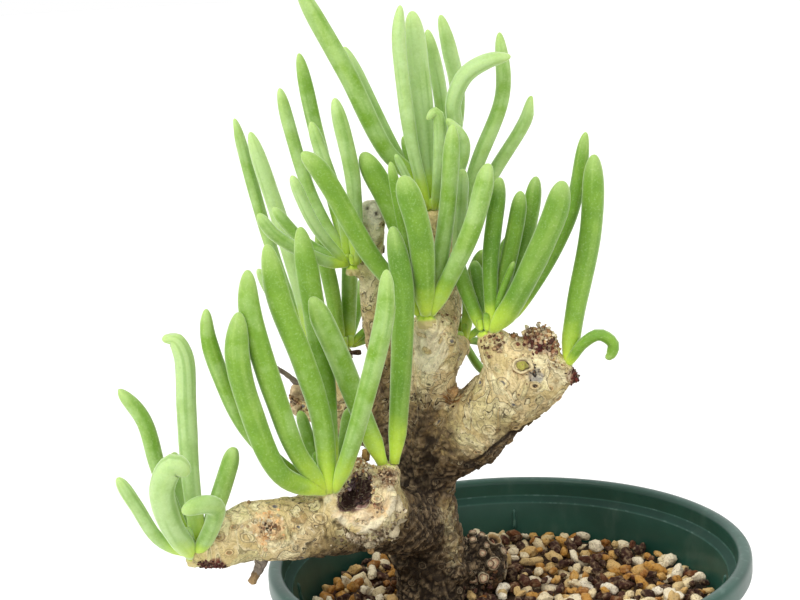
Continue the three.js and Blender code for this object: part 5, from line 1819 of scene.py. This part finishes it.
def stub_shells(draw):
    """Pegs on the burl, listed in front and by rule all round, and the dead twigs."""
    shells = Shells(*BARK_VALUES)
    grey = paint(112, 96, 76)
    ends = []
    for x, y, z, radius in PEGS:
        ends.append((x, y, z))
        kind = "cup" if (x, y, z) == CUP_PEG else "ring"
        stub_shell(shells, [(*PEG_ROOT, radius * 1.2), (x, y, z, radius)], draw, grey, kind)
    for index in range(SMALL_PEGS):
        height = 1 - (index + 0.5) / SMALL_PEGS * PEG_DROP
        angle = index * GOLDEN_ANGLE
        flat = math.sqrt(max(0.0, 1 - height * height))
        direction = np.array((flat * math.cos(angle), flat * math.sin(angle), height))
        reach = draw.uniform(*PEG_REACH)
        end = np.array(PEG_ROOT) + direction * reach
        if end[2] < GRIT_TOP + 1 or not clear_of(end, ends, PEG_GAP):
            continue
        ends.append(tuple(end))
        radius = draw.uniform(*PEG_RADII)
        start = np.array(PEG_ROOT) + direction * PEG_START
        stub_shell(shells, [(*start, radius * 1.15), (*end, radius)], draw, grey)
    for points, colour in TWIGS:
        stub_shell(shells, points, draw, colour, "dome")
    return shells


class WoodSettings(bpy.types.PropertyGroup):
    first_voxel: number_setting("First grain", "Grid that joins the branches, in millimetres", 0.9, 0.3)
    voxel: number_setting("Fine grain", "Grid of the finished skin, in millimetres", 0.62, 0.3)
    blend_steps: number_setting("Blend", "Smoothing steps that blend branches into each other", 9, 0)
    flakes: number_setting("Flakes", "Peeling scales placed by rule", 460, 0)
    young_colour: colour_setting("Young bark", "Colour of the youngest bark", (248, 234, 186))
    fresh_colour: colour_setting(
        "Fresh bark", "Colour where thin bark shows the green below", (218, 206, 148),
    )
    old_colour: colour_setting("Old bark", "Colour of the oldest bark", (56, 45, 34))


class SUCCULENT_OT_wood(bpy.types.Operator):
    """Grow the trunk and branches in one skin with flaking bark, scars, a hollow, pegs and twigs"""

    bl_idname = "succulent.wood"
    bl_label = "Make wood"

    def execute(self, context):
        settings = context.scene.succulent_wood
        material = bark_finish(settings)
        bark = Bark(wood_skin(settings))
        work_bark(bark)
        mesh = bark.finish()
        kept_in_box(mesh, "caudex")
        make_piece("wood", mesh, material, ["caudex"])
        skin = Skin(mesh)
        draw = random.Random(WOOD_SEED)
        fine = (
            ("bark_scars", scar_shells(skin, draw), True),
            ("bark_flakes", flake_shells(skin, settings.flakes, draw), False),
            ("bark_crumbs", crumb_shells(skin, draw), False),
            ("old_stubs", stub_shells(draw), True),
        )
        for name, shells, smooth in fine:
            piece_mesh = shells.mesh(name, smooth=smooth)
            kept_in_box(piece_mesh, "caudex")
            make_piece(name, piece_mesh, material)
        return {"FINISHED"}


# Leaves

def leaf_share(shares):
    """A leaf's radius along its length, as a share of its widest."""
    neck = NECK_SHARE * smoothstep(shares, 0, NECK_AT)
    body = ROOT_SHARE + neck + (1 - ROOT_SHARE - NECK_SHARE) * smoothstep(shares, 0, WIDEST_AT)
    past = np.clip((shares - TIP_FROM) / (1 - TIP_FROM), 0, 1)
    return body * np.sqrt(np.clip(1 - past ** TIP_POWER, 0, 1))


def leaf_shell(shells, at, girth, points, paleness, settings, draw):
    """One leaf: a tapering finger with a groove on the side that faces the tuft's middle."""
    outward = unit((points[0][0], points[0][1], 0))
    route = Route([tuple(outward * ROOT_SPREAD), *points])
    rings = max(12, math.ceil(route.length / settings.ring_spacing))
    shares = 1 - (1 - np.linspace(0, 1, rings)) ** 1.5
    sides = settings.sides
    angles = angles_round(sides)
    seed = draw.uniform(0, 100)
    length = route.length
    along = shares * length
    swell = np.array([1 + 0.05 * noise.noise(Vector((seed, x / SWELL_LENGTH, 0))) for x in along])
    depth = draw.uniform(*GROOVE_DEPTHS)
    turn = draw.uniform(-0.7, 0.7)
    from_groove = np.abs((angles - turn + math.pi) % (2 * math.pi) - math.pi)
    run_in_out = smoothstep(shares, 0.05, 0.3) * smoothstep(shares, 0.97, 0.8)
    dip = np.exp(-((from_groove / GROOVE_WIDTH) ** 2))[None] * run_in_out[:, None]
    ridges = 0.018 * np.cos(3 * angles + seed)[None] * smoothstep(shares, 0.0, 0.3)[:, None]
    flat = 1 - 0.07 * np.cos(angles) ** 2
    radii = girth / 2 * (leaf_share(shares) * swell)[:, None] * (flat[None] - depth * dip + ridges)
    facing = -outward + np.array((0, 0, 0.6))
    places, faces = tube(route, shares, radii, facing=facing)
    run = np.concatenate([np.repeat(shares, sides), [0, 1]]) * min(1.0, length / GREEN_LENGTH)
    groove = np.concatenate([(dip * depth / GROOVE_DEPTHS[1]).ravel(), [0, 0]])
    streak = [
        0.5 + 0.7 * noise.noise(Vector((math.cos(a) * 2.6 + seed, math.sin(a) * 2.6, x / STREAK_LENGTH)))
        for x in along for a in angles
    ]
    own = min(1.0, max(0.0, paleness + draw.uniform(-0.22, 0.22)))
    streak += [0.5, 0.5]
    shells.add(places + np.array(at, float), faces, run=run, groove=groove, streak=streak, pale=own)


def crown_shell(shells, at, radius, draw):
    """The growing point: a small lumpy dome, sunk among the leaves' roots, with dry husk at its foot."""
    places, faces = ico_ball(3)
    seed = Vector((draw.uniform(0, 50), 0, 0))
    lumps = noise_at(places, 2.4, seed)
    height = places[:, 2]
    places = places * (1 + 0.25 * lumps[:, None]) * radius * CROWN_SHARE
    middle = np.array(at, float) - np.array((0, 0, radius * CROWN_SINK))
    shells.add(places + middle, faces, run=0.0, pale=0.5, streak=0.5, husk=smoothstep(height, 0.5, 0.1))


def young_leaves(draw):
    """The smallest leaves, which stand together at a tuft's middle."""
    for index in range(YOUNG_LEAVES):
        angle = index * GOLDEN_ANGLE
        x, y = math.cos(angle), math.sin(angle)
        tall = draw.uniform(*YOUNG_HEIGHTS)
        low, high = YOUNG_SPREADS
        yield YOUNG_GIRTH, (x * low, y * low, tall * 0.5), (x * high, y * high, tall)


class LeafSettings(bpy.types.PropertyGroup):
    sides: number_setting("Sides", "Sides round each leaf", 18, 6)
    ring_spacing: number_setting("Ring spacing", "Millimetres between a leaf's rings", 1.5, 0.3)
    colour: colour_setting("Leaf", "Colour of most leaves", (122, 162, 48))
    dark_colour: colour_setting("Dark leaf", "Colour of the darkest leaves", (92, 136, 34))
    light_colour: colour_setting("Light leaf", "Colour of the paler leaves", (178, 206, 138))
    root_colour: colour_setting(
        "Leaf root", "Colour of the leaves' roots and of the youngest leaves", (192, 220, 70),
    )


class SUCCULENT_OT_leaves(bpy.types.Operator):
    """Make the twelve tufts of finger-shaped leaves"""

    bl_idname = "succulent.leaves"
    bl_label = "Make leaves"

    def execute(self, context):
        settings = context.scene.succulent_leaves
        material = leaf_finish(settings)
        for number, (name, (at, crown, paleness, leaves)) in enumerate(TUFTS.items()):
            draw = random.Random(LEAF_SEED + number)
            shells = Shells("run", "pale", "groove", "streak", "husk")
            crown_shell(shells, at, crown, draw)
            young = young_leaves(draw) if len(leaves) > FEW_LEAVES else []
            for girth, *points in [*leaves, *young]:
                leaf_shell(shells, at, girth, points, paleness, settings, draw)
            mesh = shells.mesh("tuft_" + name)
            kept_in_box(mesh, name)
            make_piece("tuft_" + name, mesh, material, [name])
        return {"FINISHED"}


# Stage

def add_key_light(strength, softness):
    """A broad even light from one side, as from a large soft box."""
    light = bpy.data.lights.new("key", "SUN")
    light.energy = strength
    light.angle = softness
    owner = linked("key", light)
    owner.location = KEY_PLACE
    owner.rotation_mode = "QUATERNION"
    owner.rotation_quaternion = (-Vector(KEY_PLACE)).to_track_quat("-Z", "Y")


def add_camera():
    """The camera stands where the photo was taken from."""
    look = Vector((
        math.sin(CAMERA_YAW) * math.cos(CAMERA_PITCH),
        math.cos(CAMERA_YAW) * math.cos(CAMERA_PITCH),
        -math.sin(CAMERA_PITCH),
    ))
    level = Vector((math.cos(CAMERA_YAW), -math.sin(CAMERA_YAW), 0))
    upright = level.cross(look)
    right = level * math.cos(CAMERA_ROLL) + upright * math.sin(CAMERA_ROLL)
    up = upright * math.cos(CAMERA_ROLL) - level * math.sin(CAMERA_ROLL)
    data = bpy.data.cameras.new("camera")
    data.lens = CAMERA_LENS
    data.sensor_width = SENSOR_WIDTH
    data.clip_start = 0.01
    camera = linked("camera", data)
    camera.matrix_world = Matrix.Translation(CAMERA_PLACE) @ Matrix((right, up, -look)).transposed().to_4x4()
    bpy.context.scene.camera = camera


class StageSettings(bpy.types.PropertyGroup):
    floor_radius: bpy.props.FloatProperty(
        name="Floor radius", description="Radius of the round floor", default=60.0, min=1.0,
        unit="LENGTH", subtype="DISTANCE",
    )
    floor_colour: colour_setting("Floor", "Colour of the floor", (246, 246, 244))
    sky_strength: number_setting("Sky", "Strength of the even white light all round", 1.0, 0)
    key_strength: number_setting("Key", "Strength of the soft light from the front left", 1.6, 0)
    key_softness: bpy.props.FloatProperty(
        name="Softness", description="How wide the soft light looks", default=math.radians(50), min=0,
        max=math.pi, unit="ROTATION",
    )


class SUCCULENT_OT_stage(bpy.types.Operator):
    """Set the camera, a pale floor and soft studio lights"""

    bl_idname = "succulent.stage"
    bl_label = "Set stage"

    def execute(self, context):
        settings = context.scene.succulent_stage
        add_camera()
        radius = settings.floor_radius
        rim = [(math.cos(a) * radius, math.sin(a) * radius, 0.0) for a in angles_round(FLOOR_SIDES)]
        mesh = bpy.data.meshes.new("floor")
        mesh.from_pydata(rim, [], [tuple(range(FLOOR_SIDES))])
        floor = linked("floor", mesh)
        mesh.materials.append(floor_finish(settings))
        world = bpy.data.worlds.new("white_room")
        world.use_nodes = True
        background = world.node_tree.nodes["Background"]
        background.inputs["Color"].default_value = (1.0, 1.0, 1.0, 1.0)
        background.inputs["Strength"].default_value = settings.sky_strength
        context.scene.world = world
        add_key_light(settings.key_strength, settings.key_softness)
        context.scene.view_settings.view_transform = "Standard"
        return {"FINISHED"}


# Sidebar

class SUCCULENT_PT_sidebar(bpy.types.Panel):
    """Lists the steps and their settings"""

    bl_idname = "SUCCULENT_PT_sidebar"
    bl_label = "Succulent"
    bl_space_type = "VIEW_3D"
    bl_region_type = "UI"
    bl_category = "Succulent"

    def draw(self, context):
        for step, group in STEPS:
            box = self.layout.box()
            box.operator(step.bl_idname)
            settings = getattr(context.scene, group)
            for name in settings.bl_rna.properties.keys():
                if name not in ("rna_type", "name"):
                    box.prop(settings, name)


STEPS = (
    (SUCCULENT_OT_stage, "succulent_stage"),
    (SUCCULENT_OT_pot, "succulent_pot"),
    (SUCCULENT_OT_grit, "succulent_grit"),
    (SUCCULENT_OT_wood, "succulent_wood"),
    (SUCCULENT_OT_leaves, "succulent_leaves"),
)
GROUPS = {
    "succulent_stage": StageSettings,
    "succulent_pot": PotSettings,
    "succulent_grit": GritSettings,
    "succulent_wood": WoodSettings,
    "succulent_leaves": LeafSettings,
}


def register():
    for name, group in GROUPS.items():
        bpy.utils.register_class(group)
        setattr(bpy.types.Scene, name, bpy.props.PointerProperty(type=group))
    for step, _ in STEPS:
        bpy.utils.register_class(step)
    bpy.utils.register_class(SUCCULENT_PT_sidebar)


def unregister():
    bpy.utils.unregister_class(SUCCULENT_PT_sidebar)
    for step, _ in reversed(STEPS):
        bpy.utils.unregister_class(step)
    for name, group in reversed(GROUPS.items()):
        delattr(bpy.types.Scene, name)
        bpy.utils.unregister_class(group)


def main():
    register()
    bpy.ops.succulent.stage()
    bpy.ops.succulent.pot()
    bpy.ops.succulent.grit()
    bpy.ops.succulent.wood()
    bpy.ops.succulent.leaves()


if __name__ == "__main__":
    main()
